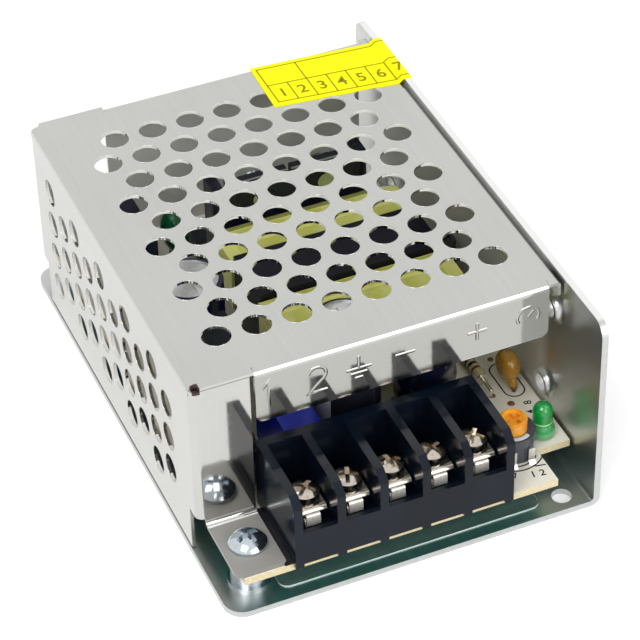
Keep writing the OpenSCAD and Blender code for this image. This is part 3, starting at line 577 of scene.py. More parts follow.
# The cover's feet, front and rear, are darker and duller.
FRONT_FOOT = Zone((-28, -44, 5), (-18, -31.2, 8.3), (0.31, 0.30, 0.28), duller=0.08)
REAR_FOOT = Zone((-28, 38, 5), (-18, 44, 8.3), (0.31, 0.30, 0.28), duller=0.08)
# Painted shade: the front flap's outer face is painted a darker grey.
FLAP_PAINTED_SHADE = Zone((-20, -31.2, 24), (28, -29.9, 32.4), (0.46, 0.46, 0.43), soft=0.3 * MM)
# Painted shade: the corner relief hole at the front left of the lid is painted nearly black.
RELIEF_PAINTED_SHADE = Zone((-28.4, -30.6, 32.2), (-27.3, -29.2, 33.6), (0.05, 0.02, 0.02), 0.2, 0.4, 0.05 * MM)

PALETTE: dict[Finish, Sequence[str]] = {
    SheetMetal(
        "chassis_steel", (0.56, 0.57, 0.56), 0.32, zones=(WALL_INSIDE_PAINTED_LIGHT, WALL_EDGE_PAINTED_HIGHLIGHT)
    ): ["base_chassis"],
    SheetMetal(
        "cover_steel", (0.58, 0.58, 0.555), 0.06, grain_depth=0.002 * MM, cloud=0.03,
        inside_duller=0.45, zones=(FRONT_FOOT, REAR_FOOT, FLAP_PAINTED_SHADE, RELIEF_PAINTED_SHADE),
    ): ["top_cover"],
    Film(): ["insulating_film"],
    BoardResin(): ["circuit_board"],
    Moulded(
        "black_nylon", (0.002, 0.004, 0.009), 0.16, 0.003 * MM, (0.005, 0.01, 0.02), shine=0.22
    ): ["terminal_housing"],
    Moulded("grey_moulding", (0.045, 0.05, 0.06), 0.30): ["trimmer_body"],
    Resin("orange_moulding", (0.90, 0.42, 0.03), (0.80, 0.30, 0.02), 0.25): ["trimmer_rotor"],
    Resin(
        "green_lens", (0.002, 0.33, 0.055), (0.001, 0.24, 0.035), 0.07, glow=0.1,
        foot=(0.08, 0.40, 0.14), foot_from=9.2 * MM, foot_to=9.9 * MM, glint=9.95 * MM,
    ): ["indicator_led"],
    Resin(
        "mustard_resin", (0.56, 0.29, 0.02), (0.44, 0.20, 0.01),
        foot=(0.16, 0.02, 0.015), foot_from=7.9 * MM, foot_to=8.5 * MM,
    ): ["dipped_capacitor"],
    BandedResin(): ["band_resistor"],
    Moulded("blue_case", (0.003, 0.015, 0.36), 0.2, shine=0.25): ["film_capacitor"],
    Moulded("brown_moulding", (0.07, 0.03, 0.02), 0.30, coat=0.3): ["inlet_fuse"],
    Moulded("choke_ferrite", (0.006, 0.006, 0.012), 0.5, shine=0.2): ["line_choke_core"],
    Resin("green_resin", (0.006, 0.16, 0.05), (0.004, 0.09, 0.03)): ["inrush_limiter"],
    Resin("pale_blue_resin", (0.03, 0.13, 0.50), (0.02, 0.08, 0.34)): ["suppression_capacitor"],
    Moulded("bridge_epoxy", (0.010, 0.011, 0.025), 0.40, shine=0.3): ["bridge_rectifier"],
    Moulded(
        "core_ferrite", (0.003, 0.003, 0.010), 0.35, sheen=(0.01, 0.01, 0.03), shine=0.2
    ): ["transformer_core"],
    Moulded("bobbin_resin", (0.010, 0.010, 0.012), 0.40, shine=0.25): ["transformer_bobbin"],
    Tape(): ["transformer_winding"],
    Moulded("grey_pad", (0.42, 0.42, 0.42), 0.7): ["insulating_pads"],
    Moulded("white_epoxy", (0.70, 0.70, 0.65), 0.45): ["optocoupler"],
    Print("sticker_paper", (0.97, 0.94, 0.002), 0.45): ["seal_sticker"],
    Plating("zinc_screw", (0.58, 0.64, 0.70), 0.10): [
        "front_foot_screw", "rear_foot_screw", "board_screws", "device_screws",
    ],
    Plating("tin_plate", (0.90, 0.86, 0.78), 0.30, metallic=0.45): ["terminal_strips"],
    Plating("nickel_brass", (0.46, 0.50, 0.53), 0.18): ["board_standoffs"],
    Plating("nickel_plate", (0.60, 0.55, 0.48), 0.13, (0.30, 0.22, 0.14), 0.45): [
        f"{part}_{i}" for i in range(1, 6) for part in ("clamp_plate", "clamp_screw", "lock_washer")
    ],
    Moulded("black_epoxy", (0.010, 0.010, 0.014), 0.45, shine=0.3): [
        "switching_transistor", "output_rectifier", "control_chip",
    ],
    Moulded("black_anodised", (0.006, 0.007, 0.016), 0.26, shine=0.3): ["heat_sink"],
    Moulded("ferrite", (0.004, 0.004, 0.010), 0.4, shine=0.2): ["output_choke_core"],
    Resin("enamelled_copper", (0.42, 0.14, 0.04), (0.30, 0.09, 0.03), 0.22): [
        "line_choke_winding", "output_choke_winding",
    ],
}


def centre(node: str) -> Vector:
    """Return the middle of a node's box."""
    low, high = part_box(node)
    return (low + high) / 2


def evaluated(obj: bpy.types.Object) -> bpy.types.Mesh:
    """Return a plain mesh of an object as its type or modifiers make it."""
    bpy.context.view_layer.update()
    return bpy.data.meshes.new_from_object(obj.evaluated_get(bpy.context.evaluated_depsgraph_get()))


def mesh_from(name: str, fill: Callable[[bmesh.types.BMesh], None]) -> bpy.types.Mesh:
    """Make a mesh whose normals point outwards.

    Args:
        name: Its name.
        fill: The function that fills it.

    Returns:
        The mesh.
    """
    bm = bmesh.new()
    fill(bm)
    bmesh.ops.remove_doubles(bm, verts=bm.verts, dist=1e-7)
    bmesh.ops.recalc_face_normals(bm, faces=bm.faces)
    mesh = bpy.data.meshes.new(name)
    bm.to_mesh(mesh)
    bm.free()
    return mesh


def add_piece(
    name: str,
    shape: bpy.types.Mesh | Callable[[bmesh.types.BMesh], None],
    material: bpy.types.Material,
    sharp: float | None = None,
) -> bpy.types.Object:
    """Put a shape into the scene as a piece of the case's body.

    Args:
        name: The piece's name.
        shape: Its mesh, or the function that fills it, in place in the shared frame.
        material: Its only material.
        sharp: Shade it smooth, apart from edges sharper than this angle in degrees.

    Returns:
        The new object.
    """
    mesh = shape if isinstance(shape, bpy.types.Mesh) else mesh_from(name, shape)
    if sharp is not None:
        mesh.shade_smooth()
        mesh.set_sharp_from_angle(angle=math.radians(sharp))
    obj = bpy.data.objects.new(name, mesh)
    bpy.context.scene.collection.objects.link(obj)
    mesh.materials.clear()
    mesh.materials.append(material)
    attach(obj, BODY)
    LOG.info("piece %s on %s: %d faces", name, BODY, len(mesh.polygons))
    return obj


def loft(bm: bmesh.types.BMesh, outlines: Sequence[Sequence[Point]], closed: bool = False) -> None:
    """Join outlines with the same number of points into one skin.

    Args:
        bm: The mesh being filled.
        outlines: The outlines, in order.
        closed: Whether the last joins the first, instead of both ends being capped.
    """
    rings = [[bm.verts.new(point) for point in outline] for outline in outlines]
    pairs = list(zip(rings, rings[1:])) + ([(rings[-1], rings[0])] if closed else [])
    for first, second in pairs:
        for k in range(len(first)):
            n = (k + 1) % len(first)
            bm.faces.new((first[k], first[n], second[n], second[k]))
    if not closed:
        bm.faces.new(rings[0])
        bm.faces.new(rings[-1])


def stroke(width: float, height: float, steps: int = 0) -> list[Flat]:
    """Return the outline of a stroke: flat ink, or a rounded ridge where steps is given.

    Args:
        width: Width of the stroke.
        height: How far it stands off its surface.
        steps: Number of sides of the ridge's round back, or 0 for flat ink.

    Returns:
        Points as (side, height), in order round the outline.
    """
    half = width / 2
    if not steps:
        return [(-half, 0.0), (half, 0.0), (half, height), (-half, height)]
    angles = [math.pi * i / steps for i in range(steps + 1)]
    return [(-half * math.cos(a), height * math.sin(a)) for a in angles]


def arc(at: Flat, radius: float, start: float, end: float, steps: int = 16) -> list[Flat]:
    """Return points along an arc.

    Args:
        at: Its centre.
        radius: Its radius.
        start: Where it starts, in degrees.
        end: Where it ends, in degrees.
        steps: Number of straight pieces.

    Returns:
        The points, from start to end.
    """
    angles = [math.radians(start + (end - start) * i / steps) for i in range(steps + 1)]
    return [(at[0] + radius * math.cos(a), at[1] + radius * math.sin(a)) for a in angles]


def on_level(height: float) -> Place:
    """Return a function that lays (along, across, up) on a level surface."""

    def place(along: float, across: float, up: float) -> Point:
        """Lay one point."""
        return (along, across, height + up)

    return place


def sweep(
    bm: bmesh.types.BMesh,
    path: Sequence[Flat],
    outline: Sequence[Flat],
    place: Place,
    closed: bool = False,
) -> None:
    """Sweep an outline along a flat path, and lay the result on a surface.

    Args:
        bm: The mesh being filled.
        path: The path's points, as (along, across).
        outline: The stroke's outline, as (side, height).
        place: Turns (along, across, height) into a point of the shared frame.
        closed: Whether the path runs back into its start.
    """
    count = len(path)
    rings = []
    for i, (a, b) in enumerate(path):
        runs = []
        for j, k in ((i - 1, i), (i, i + 1)):
            if closed or (j >= 0 and k < count):
                start, end = path[j % count], path[k % count]
                runs.append(Vector((end[0] - start[0], end[1] - start[1])).normalized())
        run = (runs[0] + runs[-1]).normalized()
        mitre = 1.0 / max(0.4, run.dot(runs[0]))
        across = Vector((-run.y, run.x)) * mitre
        rings.append([place(a + across.x * side, b + across.y * side, up) for side, up in outline])
    loft(bm, rings, closed)


TYPE_WEIGHT = 0.012
TYPE_MIDDLE = 0.35
TYPE_DEPTH = 0.5


def figure(
    bm: bmesh.types.BMesh, text: str, size: float, at: Flat, place: Place, height: float,
    turn: float = 0.0, cuts: Sequence[float] = (),
) -> None:
    """Write a plain number and lay it on a surface.

    Args:
        bm: The mesh being filled.
        text: The number.
        size: Height of its type.
        at: Its middle, as (along, across).
        place: Turns (along, across, height) into a point of the shared frame.
        height: Thickness of the ink.
        turn: How far it is turned, in degrees.
        cuts: Places along the surface where it bends, and the number is cut to follow it.
    """
    curve = bpy.data.curves.new("figure", "FONT")
    curve.body = text
    curve.size = 1.0
    curve.offset = TYPE_WEIGHT
    curve.extrude = TYPE_DEPTH
    curve.resolution_u = 3
    curve.align_x = "CENTER"
    obj = bpy.data.objects.new("figure", curve)
    bpy.context.scene.collection.objects.link(obj)
    mesh = evaluated(obj)
    bpy.data.objects.remove(obj)
    mesh.transform(Matrix.Translation((0, -TYPE_MIDDLE, TYPE_DEPTH)))
    mesh.transform(Matrix.Rotation(math.radians(turn), 4, "Z") @ Matrix.Diagonal((size, size, height, 1)))
    mesh.transform(Matrix.Translation((*at, 0)))
    flat = bmesh.new()
    flat.from_mesh(mesh)
    for cut in cuts:
        geom = flat.verts[:] + flat.edges[:] + flat.faces[:]
        bmesh.ops.bisect_plane(flat, geom=geom, dist=1e-8, plane_co=(cut, 0, 0), plane_no=(1, 0, 0))
    for vertex in flat.verts:
        vertex.co = place(*vertex.co)
    flat.to_mesh(mesh)
    flat.free()
    bm.from_mesh(mesh)
    bpy.data.meshes.remove(mesh)


def lathe(bm: bmesh.types.BMesh, profile: Sequence[Flat], axis_at: Flat, sides: int) -> None:
    """Turn a profile round an upright axis.

    Args:
        bm: The mesh being filled.
        profile: Points as (radius, height), from the bottom up.
        axis_at: Where the axis stands.
        sides: Number of sides.
    """
    rings = []
    for radius, z in profile:
        circle = arc(axis_at, radius, 0, 360, sides)[:-1]
        rings.append([(*point, z) for point in circle])
    loft(bm, rings)


SAME_PLACE = 1e-6
SAME_LEVEL = 1e-5
SQUARE_ON = 0.99
FEWEST_SIDES = 8
OUT_OF_ROUND = 0.04


def rim_loops(bm: bmesh.types.BMesh, axis: int, level: float) -> list[list[Vector]]:
    """Find the edges where a flat face ends, as loops.

    Args:
        bm: The mesh.
        axis: The axis that the face is square to, 0 to 2.
        level: Where the face lies on that axis.

    Returns:
        The points of each loop.
    """
    rim: dict[bmesh.types.BMVert, list[bmesh.types.BMVert]] = {}
    for edge in bm.edges:
        flat = [f for f in edge.link_faces if abs(f.normal[axis]) > SQUARE_ON]
        if len(edge.link_faces) == 2 and len(flat) == 1:
            if all(abs(v.co[axis] - level) < SAME_LEVEL for v in edge.verts):
                for v, w in (edge.verts, reversed(edge.verts)):
                    rim.setdefault(v, []).append(w)
    loops, done = [], set()
    for start in rim:
        loop, queue = [], [start]
        while queue:
            v = queue.pop()
            if v not in done:
                done.add(v)
                loop.append(v.co.copy())
                queue.extend(rim[v])
        loops.append(loop)
    return loops


def round_holes(node: str, axis: int, level: float, largest: float) -> tuple[list[Vector], float]:
    """Find the round holes in one flat face of a carried-over node.

    Args:
        node: The node's name.
        axis: The axis that the face is square to, 0 to 2.
        level: Where the face lies on that axis.
        largest: No hole has a larger radius than this.

    Returns:
        The holes' centres, and their mean radius.
    """
    bm = bmesh.new()
    bm.from_mesh(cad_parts[node].data)
    bmesh.ops.remove_doubles(bm, verts=bm.verts, dist=SAME_PLACE)
    bm.normal_update()
    centres, radii = [], []
    for loop in rim_loops(bm, axis, level):
        if len(loop) < FEWEST_SIDES:
            continue
        low, high = (Vector([pick(p[i] for p in loop) for i in range(3)]) for pick in (min, max))
        middle = (low + high) / 2
        reach = [(p - middle).length for p in loop]
        if max(reach) < largest and max(reach) - min(reach) < OUT_OF_ROUND * max(reach):
            centres.append(middle)
            radii.append(sum(reach) / len(reach))
    bm.free()
    return centres, sum(radii) / max(1, len(radii))


class Socket(Enum):
    """Kinds of input that a repeat takes."""

    POINTS = "NodeSocketGeometry"
    NUMBER = "NodeSocketFloat"
    WHOLE = "NodeSocketInt"
    TURN = "NodeSocketRotation"
    FINISH = "NodeSocketMaterial"


class Repeat(Wiring):
    """A Geometry Nodes tree that lays one small shape on each point it is given."""

    inputs: dict[str, Socket] = {}

    def __init__(self, name: str) -> None:
        """Build the tree with its named inputs, round the shape that the subclass draws.

        Args:
            name: The tree's name.
        """
        super().__init__(bpy.data.node_groups.new(name, "GeometryNodeTree"))
        kinds = {"Points": Socket.POINTS, **self.inputs, "Finish": Socket.FINISH}
        for label, kind in kinds.items():
            self.tree.interface.new_socket(label, in_out="INPUT", socket_type=kind.value)
        self.tree.interface.new_socket("Shapes", in_out="OUTPUT", socket_type=Socket.POINTS.value)
        self.given = self.node("NodeGroupInput").outputs
        laid = self.node(
            "GeometryNodeInstanceOnPoints", {"Points": self.given["Points"], "Instance": self.shape()}
        )
        self.lay(laid)
        real = self.node("GeometryNodeRealizeInstances", {"Geometry": laid.outputs[0]})
        soft = self.node("GeometryNodeSetShadeSmooth", {"Geometry": real.outputs[0]})
        feeds = {"Geometry": soft.outputs[0], "Material": self.given["Finish"]}
        done = self.node("GeometryNodeSetMaterial", feeds)
        self.node("NodeGroupOutput", {"Shapes": done.outputs[0]})

    def shape(self) -> NodeSocket:
        """Return the output that holds one shape."""
        raise NotImplementedError

    def lay(self, laid: bpy.types.Node) -> None:
        """Set how each shape lies on its point.

        Args:
            laid: The node that puts the shapes on the points.
        """
        raise NotImplementedError

    def mesh(self, name: str, points: Sequence[Vector], **values: object) -> bpy.types.Mesh:
        """Run the tree on some points.

        Args:
            name: Name of the mesh.
            points: Where the shapes go.
            values: The tree's named inputs.

        Returns:
            A plain mesh.
        """
        cloud = bpy.data.meshes.new(name)
        cloud.from_pydata([tuple(p) for p in points], [], [])
        obj = bpy.data.objects.new(name, cloud)
        bpy.context.scene.collection.objects.link(obj)
        modifier = obj.modifiers.new("repeat", "NODES")
        modifier.node_group = self.tree
        for item in self.tree.interface.items_tree:
            if item.in_out == "INPUT" and item.name in values:
                modifier[item.identifier] = values[item.name]
        mesh = evaluated(obj)
        obj.modifiers.remove(modifier)
        bpy.data.objects.remove(obj)
        mesh.name = name
        return mesh


class WireRings(Repeat):
    """Rings of round wire, from round to nearly square: turns of a winding and rims of holes."""

    inputs = {
        "Length": Socket.NUMBER, "Width": Socket.NUMBER, "Corner": Socket.NUMBER,
        "Wire": Socket.NUMBER, "Turn": Socket.TURN,
    }

    def shape(self) -> NodeSocket:
        """Return one ring, drawn as a rounded rectangle that a small circle is swept along."""
        given = self.given
        feeds = {"Width": given["Length"], "Height": given["Width"]}
        loop = self.node("GeometryNodeCurvePrimitiveQuadrilateral", feeds)
        feeds = {"Curve": loop.outputs[0], "Radius": given["Corner"], "Count": 6, "Limit Radius": True}
        bend = self.node("GeometryNodeFilletCurve", feeds, mode="POLY")
        wire = self.node("GeometryNodeCurvePrimitiveCircle", {"Resolution": 6, "Radius": given["Wire"]})
        feeds = {"Curve": bend.outputs[0], "Profile Curve": wire.outputs["Curve"]}
        return self.node("GeometryNodeCurveToMesh", feeds).outputs[0]

    def lay(self, laid: bpy.types.Node) -> None:
        """Turn every ring the same way."""
        self.feed(laid.inputs["Rotation"], self.given["Turn"])


class SolderJoints(Repeat):
    """Small cones of solder under the board, no two quite the same size."""

    inputs = {"Foot": Socket.NUMBER, "Height": Socket.NUMBER, "Seed": Socket.WHOLE}

    def shape(self) -> NodeSocket:
        """Return one cone, point down."""
        foot, height = self.given["Foot"], self.given["Height"]
        feeds = {
            "Vertices": 10, "Side Segments": 2, "Depth": height,
            "Radius Top": foot, "Radius Bottom": self.math("MULTIPLY", foot, 0.3),
        }
        return self.node("GeometryNodeMeshCone", feeds).outputs["Mesh"]

    def lay(self, laid: bpy.types.Node) -> None:
        """Vary the size of each joint."""
        feeds = {"Min": (0.85, 0.85, 0.85), "Max": (1.15, 1.15, 1.0), "Seed": self.given["Seed"]}
        size = self.node("FunctionNodeRandomValue", feeds, data_type="FLOAT_VECTOR")
        self.feed(laid.inputs["Scale"], size.outputs[0])


@dataclass(frozen=True)
class Lamp:
    """A square soft lamp, its power in watts."""

    name: str
    at: Point
    size: float
    power: float


@dataclass
class Studio:
    """Pale floor, even soft light, and the camera."""

    target: Point = (0.0007, -0.0058, 0.0170)
    distance: float = 0.4129
    azimuth: float = -22.2
    elevation: float = 39.87
    roll: float = -1.62
    lens: float = 156.07
    sensor: float = 36.0
    floor_size: float = 3.0
    floor_drop: float = 0.02 * MM
    floor_grey: float = 0.86
    floor_lift: float = 0.22
    floor_gloss: float = 0.19
    sky_fill: float = 0.70
    sky_seen: float = 1.0
    sky_gloss: float = 1.0
    lamps: tuple[Lamp, ...] = (
        Lamp("key", (-0.5, -0.45, 0.9), 0.5, 5.0),
        Lamp("fill", (0.30, -0.95, 0.5), 0.7, 5.0),
    )

    def camera(self) -> None:
        """Place the camera on its line of sight and make it the scene's."""
        az, el = math.radians(self.azimuth), math.radians(self.elevation)
        back = Vector((math.sin(az) * math.cos(el), -math.cos(az) * math.cos(el), math.sin(el)))
        level = (-back).cross(Vector((0, 0, 1))).normalized()
        above = back.cross(level)
        turn = math.radians(self.roll)
        right = level * math.cos(turn) + above * math.sin(turn)
        up = back.cross(right)
        matrix = Matrix((right, up, back)).transposed().to_4x4()
        matrix.translation = Vector(self.target) + back * self.distance
        data = bpy.data.cameras.new("camera")
        data.lens = self.lens
        data.sensor_width = self.sensor
        data.clip_start = 0.01
        obj = bpy.data.objects.new("camera", data)
        obj.matrix_world = matrix
        bpy.context.scene.collection.objects.link(obj)
        bpy.context.scene.camera = obj

    def light(self, lamp: Lamp) -> None:
        """Hang a lamp and aim it at the object.

        Args:
            lamp: The lamp.
        """
        data = bpy.data.lights.new(lamp.name, "AREA")
        data.size = lamp.size
        data.energy = lamp.power
        obj = bpy.data.objects.new(lamp.name, data)
        turn = (Vector(self.target) - Vector(lamp.at)).to_track_quat("-Z", "Y")
        obj.matrix_world = Matrix.Translation(lamp.at) @ turn.to_matrix().to_4x4()
        bpy.context.scene.collection.objects.link(obj)

    def world(self) -> None:
        """Light the scene from all round, and show white to the camera and in reflections."""
        world = bpy.data.worlds.new("sky")
        world.use_nodes = True
        bpy.context.scene.world = world
        sky = Wiring(world.node_tree)
        back = sky.tree.nodes["Background"]
        path = sky.node("ShaderNodeLightPath").outputs
        level: Feed = self.sky_fill
        for ray, value in (
            ("Is Glossy Ray", self.sky_gloss),
            ("Is Transmission Ray", self.sky_seen),
            ("Is Camera Ray", self.sky_seen),
        ):
            level = sky.node("ShaderNodeMix", {"Factor": path[ray], 2: level, 3: value}).outputs[0]
        sky.feed(back.inputs["Color"], (1, 1, 1, 1))
        sky.feed(back.inputs["Strength"], level)

    def floor(self) -> None:
        """Lay a pale floor that keeps the object's shadow."""
        half = self.floor_size / 2
        mesh = bpy.data.meshes.new("floor")
        corners = [(-half, -half, 0), (half, -half, 0), (half, half, 0), (-half, half, 0)]
        mesh.from_pydata(corners, [], [(0, 1, 2, 3)])
        floor = bpy.data.objects.new("floor", mesh)
        floor.location.z = -self.floor_drop
        bpy.context.scene.collection.objects.link(floor)
        grey = (self.floor_grey, self.floor_grey, self.floor_grey, 1)
        s = Shader("floor", Base_Color=grey, Roughness=0.9, Specular_IOR_Level=0.0)
        path = s.node("ShaderNodeLightPath").outputs
        mirrored = s.math("MULTIPLY", path["Is Glossy Ray"], self.floor_gloss)
        level = s.math("MULTIPLY_ADD", path["Is Camera Ray"], self.floor_lift, mirrored)
        s.set(Emission_Color=(1, 1, 1, 1), Emission_Strength=level)
        mesh.materials.append(s.material)

    def build(self) -> None:
        """Build the whole studio."""
        self.camera()
        self.world()
        self.floor()
        for lamp in self.lamps:
            self.light(lamp)
        bpy.context.scene.view_settings.view_transform = "Standard"


@dataclass
class Finishes:
    """Gives every carried-over node its material."""

    navy: Colour = (0.008, 0.010, 0.05)
    black: Colour = (0.012, 0.013, 0.022)
    output_radius: float = 5 * MM

    def cans(self) -> dict[Finish, Sequence[str]]:
        """Return the finishes of the capacitor cans, whose tops are bare metal."""
        found = {}
        for node, sleeve in (("main_capacitor", self.navy), ("bias_capacitor", self.black)):
            low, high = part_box(node)
            axis_at = tuple(centre(node).xy)
            found[CanSleeve(f"{node}_can", axis_at, (high.x - low.x) / 2, high.z, sleeve)] = [node]
        low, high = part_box("output_capacitors")
        axis_at = (low.x + self.output_radius, low.y + self.output_radius)
        found[CanSleeve("output_can", axis_at, self.output_radius, high.z)] = ["output_capacitors"]
        return found

    def build(self) -> None:
        """Dress all nodes, each in one material."""
        for finish, names in {**PALETTE, **self.cans()}.items():
            material = finish.build()
            for name in names:
                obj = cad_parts[name]
                if not obj.material_slots:
                    obj.data.materials.append(material)
                for slot in obj.material_slots:
                    slot.material = material


@dataclass
class SealPrint:
    """Ruled cells and plain numbers on the yellow sticker. Its fold and edges are in millimetres."""

    folds: tuple[Flat, ...] = ((7.1, 33.45), (27.1, 33.45), (27.9, 34.15), (29.15, 34.15), (29.15, 28.0))
    front: tuple[Flat, Flat] = ((7.1, 26.0), (30.0, 23.3))
    rear: tuple[Flat, Flat] = ((7.5, 37.0), (30.0, 35.3))
    middle: float = 18 * MM
    rows: Point = (0.08, 0.505, 0.925)
    margin: float = 1.1 * MM
    cell: float = 3.16 * MM
    cells: int = 8
    full_height: tuple[int, ...] = (0, 2, 8)
    line: float = 0.2 * MM
    ink: float = 0.02 * MM
    type_size: float = 3.1 * MM

    def edge(self, ends: tuple[Flat, Flat], x: float) -> float:
        """Return where a slanting edge of the paper lies at x."""
        (x0, y0), (x1, y1) = ends
        return (y0 + (y1 - y0) * (x / MM - x0) / (x1 - x0)) * MM

    def place(self, along: float, across: float, up: float) -> Point:
        """Lay a point on the folded paper, across being a share of the paper's width."""
        left = along / MM
        for (x0, z0), (x1, z1) in zip(self.folds, self.folds[1:]):
            run = math.hypot(x1 - x0, z1 - z0)
            if left <= run or (x1, z1) == self.folds[-1]:
                break
            left -= run
        dx, dz = (x1 - x0) / run, (z1 - z0) / run
        x = (x0 + dx * left) * MM - dz * up
        z = (z0 + dz * left) * MM + dx * up
        front, rear = self.edge(self.front, x), self.edge(self.rear, x)
        return (x, front + (rear - front) * across, z)

    def stations(self, start: float, end: float) -> list[float]:
        """Return start, end and every fold between them."""
        found, total = [start], 0.0
        for first, second in zip(self.folds, self.folds[1:]):
            total += math.dist(first, second) * MM
            if start + SAME_PLACE < total < end - SAME_PLACE:
                found.append(total)
        return found + [end]

    def fill(self, bm: bmesh.types.BMesh) -> None:
        """Draw the ruled lines and the numbers."""
        width = self.edge(self.rear, self.middle) - self.edge(self.front, self.middle)
        half = self.line / 2
        along = self.stations(self.margin - half, self.margin + self.cells * self.cell + half)
        for row in self.rows:
            sweep(bm, [(a, row) for a in along], stroke(self.line / width, self.ink), self.place)
        low, split, high = self.rows
        for i in range(self.cells + 1):
            top = high if i in self.full_height else split
            at = self.margin + i * self.cell
            sweep(bm, [(at, low), (at, top)], stroke(self.line, self.ink), self.place)
        row = (low + split) / 2

        def narrow(along: float, across: float, up: float) -> Point:
            """Lay a point of a number, across being metres round the row's middle."""
            return self.place(along, row + (across - row) / width, up)

        for i in range(self.cells):
            at = (self.margin + (i + 0.5) * self.cell, row)
            cuts = self.stations(0, 1)[1:-1]
            figure(bm, str(i + 1), self.type_size, at, narrow, self.ink, cuts=cuts)

    def build(self) -> None:
        """Build the printed layer."""
        ink = Print("olive_ink", (0.30, 0.26, 0.0), 0.4).build()
        add_piece("seal_print", self.fill, ink)


@dataclass
class FlapMarks:
    """Signs pressed into the front flap above the terminals: two line numbers, earth, minus and plus."""

    face: float = -30.39 * MM
    level: float = 28.7 * MM
    tall: float = 4.4 * MM
    width: float = 0.55 * MM
    height: float = 0.13 * MM
    sign: float = 1.5 * MM
    one: float = -17.3 * MM
    two: float = -10.0 * MM
    hook: float = 1.35 * MM
    earth: float = -3.7 * MM
    earth_low: float = -0.2 * MM
    earth_gap: float = 0.85 * MM
    earth_bars: Point = (1.9 * MM, 1.25 * MM, 0.6 * MM)
    minus: float = 3.4 * MM
    plus: float = 14.6 * MM
    adjust: float = 22.6 * MM
    adjust_radius: float = 1.7 * MM

    def place(self, along: float, across: float, up: float) -> Point:
        """Lay a point on the flap's outer face."""
        return (along, self.face - up, self.level + across)

    def strokes(self) -> list[list[Flat]]:
        """Return the path of each ridge."""
        h, sign = self.tall / 2, self.sign
        one, two, earth = self.one, self.two, self.earth
        hook = arc((two, h - self.hook), self.hook, 165, -35, 12)
        paths = [
            [(one - 0.9 * MM, h - 1.0 * MM), (one, h), (one, -h)],
            hook + [(two - 1.3 * MM, -h), (two + sign, -h)],
            [(earth, h - 0.2 * MM), (earth, self.earth_low)],
            [(self.minus - sign, 0.0), (self.minus + sign, 0.0)],
            [(self.plus - sign, 0.0), (self.plus + sign, 0.0)],
            [(self.plus, -sign), (self.plus, sign)],
            arc((self.adjust, 0.0), self.adjust_radius, 210, -30),
            [(self.adjust, 0.0), (self.adjust + 0.9 * MM, 1.0 * MM)],
        ]
        for i, half in enumerate(self.earth_bars):
            z = self.earth_low - i * self.earth_gap
            paths.append([(earth - half, z), (earth + half, z)])
        return paths

    def fill(self, bm: bmesh.types.BMesh) -> None:
        """Raise the ridges."""
        outline = stroke(self.width, self.height, 6)
        for path in self.strokes():
            sweep(bm, path, outline, self.place)

    def build(self, steel: bpy.types.Material) -> None:
        """Build the ridges in the cover's own steel."""
        add_piece("flap_marks", self.fill, steel, sharp=60)


@dataclass
class BoardPrint:
    """Black marks on the board's top, and drops of flux. Outline, figures and drops are in millimetres."""

    ink: float = 0.02 * MM
    line: float = 0.22 * MM
    outline: tuple[float, float, float, float] = (23.5, -23.5, 26.7, -15.6)
    dial: Flat = (18.9 * MM, -33.9 * MM)
    dial_radii: Flat = (4.5 * MM, 3.6 * MM)
    tick: tuple[Flat, Flat] = ((20.4 * MM, -38.3 * MM), (22.0 * MM, -38.6 * MM))
    figures: tuple[tuple[str, float, float, float, float], ...] = (
        ("8", 25.6, -25.4, 1.7, 80), ("4", 25.1, -27.4, 1.6, 80), ("1", 19.4, -39.7, 1.8, -8),
        ("2", 20.8, -39.9, 1.8, -8), ("7", 16.9, -38.9, 1.6, -8),
    )
    drops: tuple[Point, ...] = (
        (21.5, -21.9, 0.55), (23.3, -24.6, 0.6), (24.9, -14.3, 0.5), (21.3, -11.0, 0.5),
    )
    drop_height: float = 0.22 * MM
    drop_sunk: float = 0.02 * MM

    def fill(self, bm: bmesh.types.BMesh) -> None:
        """Draw the ink."""
        outline, place = stroke(self.line, self.ink), on_level(BOARD_TOP)
        x0, y0, x1, y1 = (v * MM for v in self.outline)
        r = (x1 - x0) / 2
        ends = arc((x0 + r, y1 - r), r, 0, 180) + arc((x0 + r, y0 + r), r, 180, 360)
        sweep(bm, ends, outline, place, True)
        for radius in self.dial_radii:
            sweep(bm, arc(self.dial, radius, -118, -42, 18), outline, place)
        sweep(bm, self.tick, outline, place)
        for text, x, y, size, turn in self.figures:
            figure(bm, text, size * MM, (x * MM, y * MM), place, self.ink, turn)

    def flux(self, bm: bmesh.types.BMesh) -> None:
        """Lay the drops of flux, each a low dome."""
        base = BOARD_TOP - self.drop_sunk
        for x, y, radius in self.drops:
            steps = [math.radians(a) for a in (0, 20, 40, 60, 80)]
            dome = [(radius * MM * math.cos(a), base + self.drop_height * math.sin(a)) for a in steps]
            lathe(bm, dome, (x * MM, y * MM), 14)

    def build(self) -> None:
        """Build the ink and the flux."""
        black = Print("board_ink", (0.012, 0.012, 0.012), 0.45).build()
        add_piece("board_print", self.fill, black)
        amber = Resin("amber_flux", (0.30, 0.11, 0.02), (0.16, 0.05, 0.01), 0.10).build()
        add_piece("flux_drops", self.flux, amber, sharp=40)


def tab(bm: bmesh.types.BMesh, path: Sequence[Flat], at: Flat, width: float, thickness: float) -> None:
    """Bend an upright strip of sheet.

    Args:
        bm: The mesh being filled.
        path: The strip's front face from the side, as (towards the rear, height).
        at: Middle of the strip, as (X, Y).
        width: Its width along X.
        thickness: Its thickness, to the front.
    """
    (x, y), half = at, width / 2
    sides = ((-half, 0.0), (half, 0.0), (half, thickness), (-half, thickness))
    loft(bm, [[(x + side, y + back - out, up) for side, out in sides] for back, up in path])


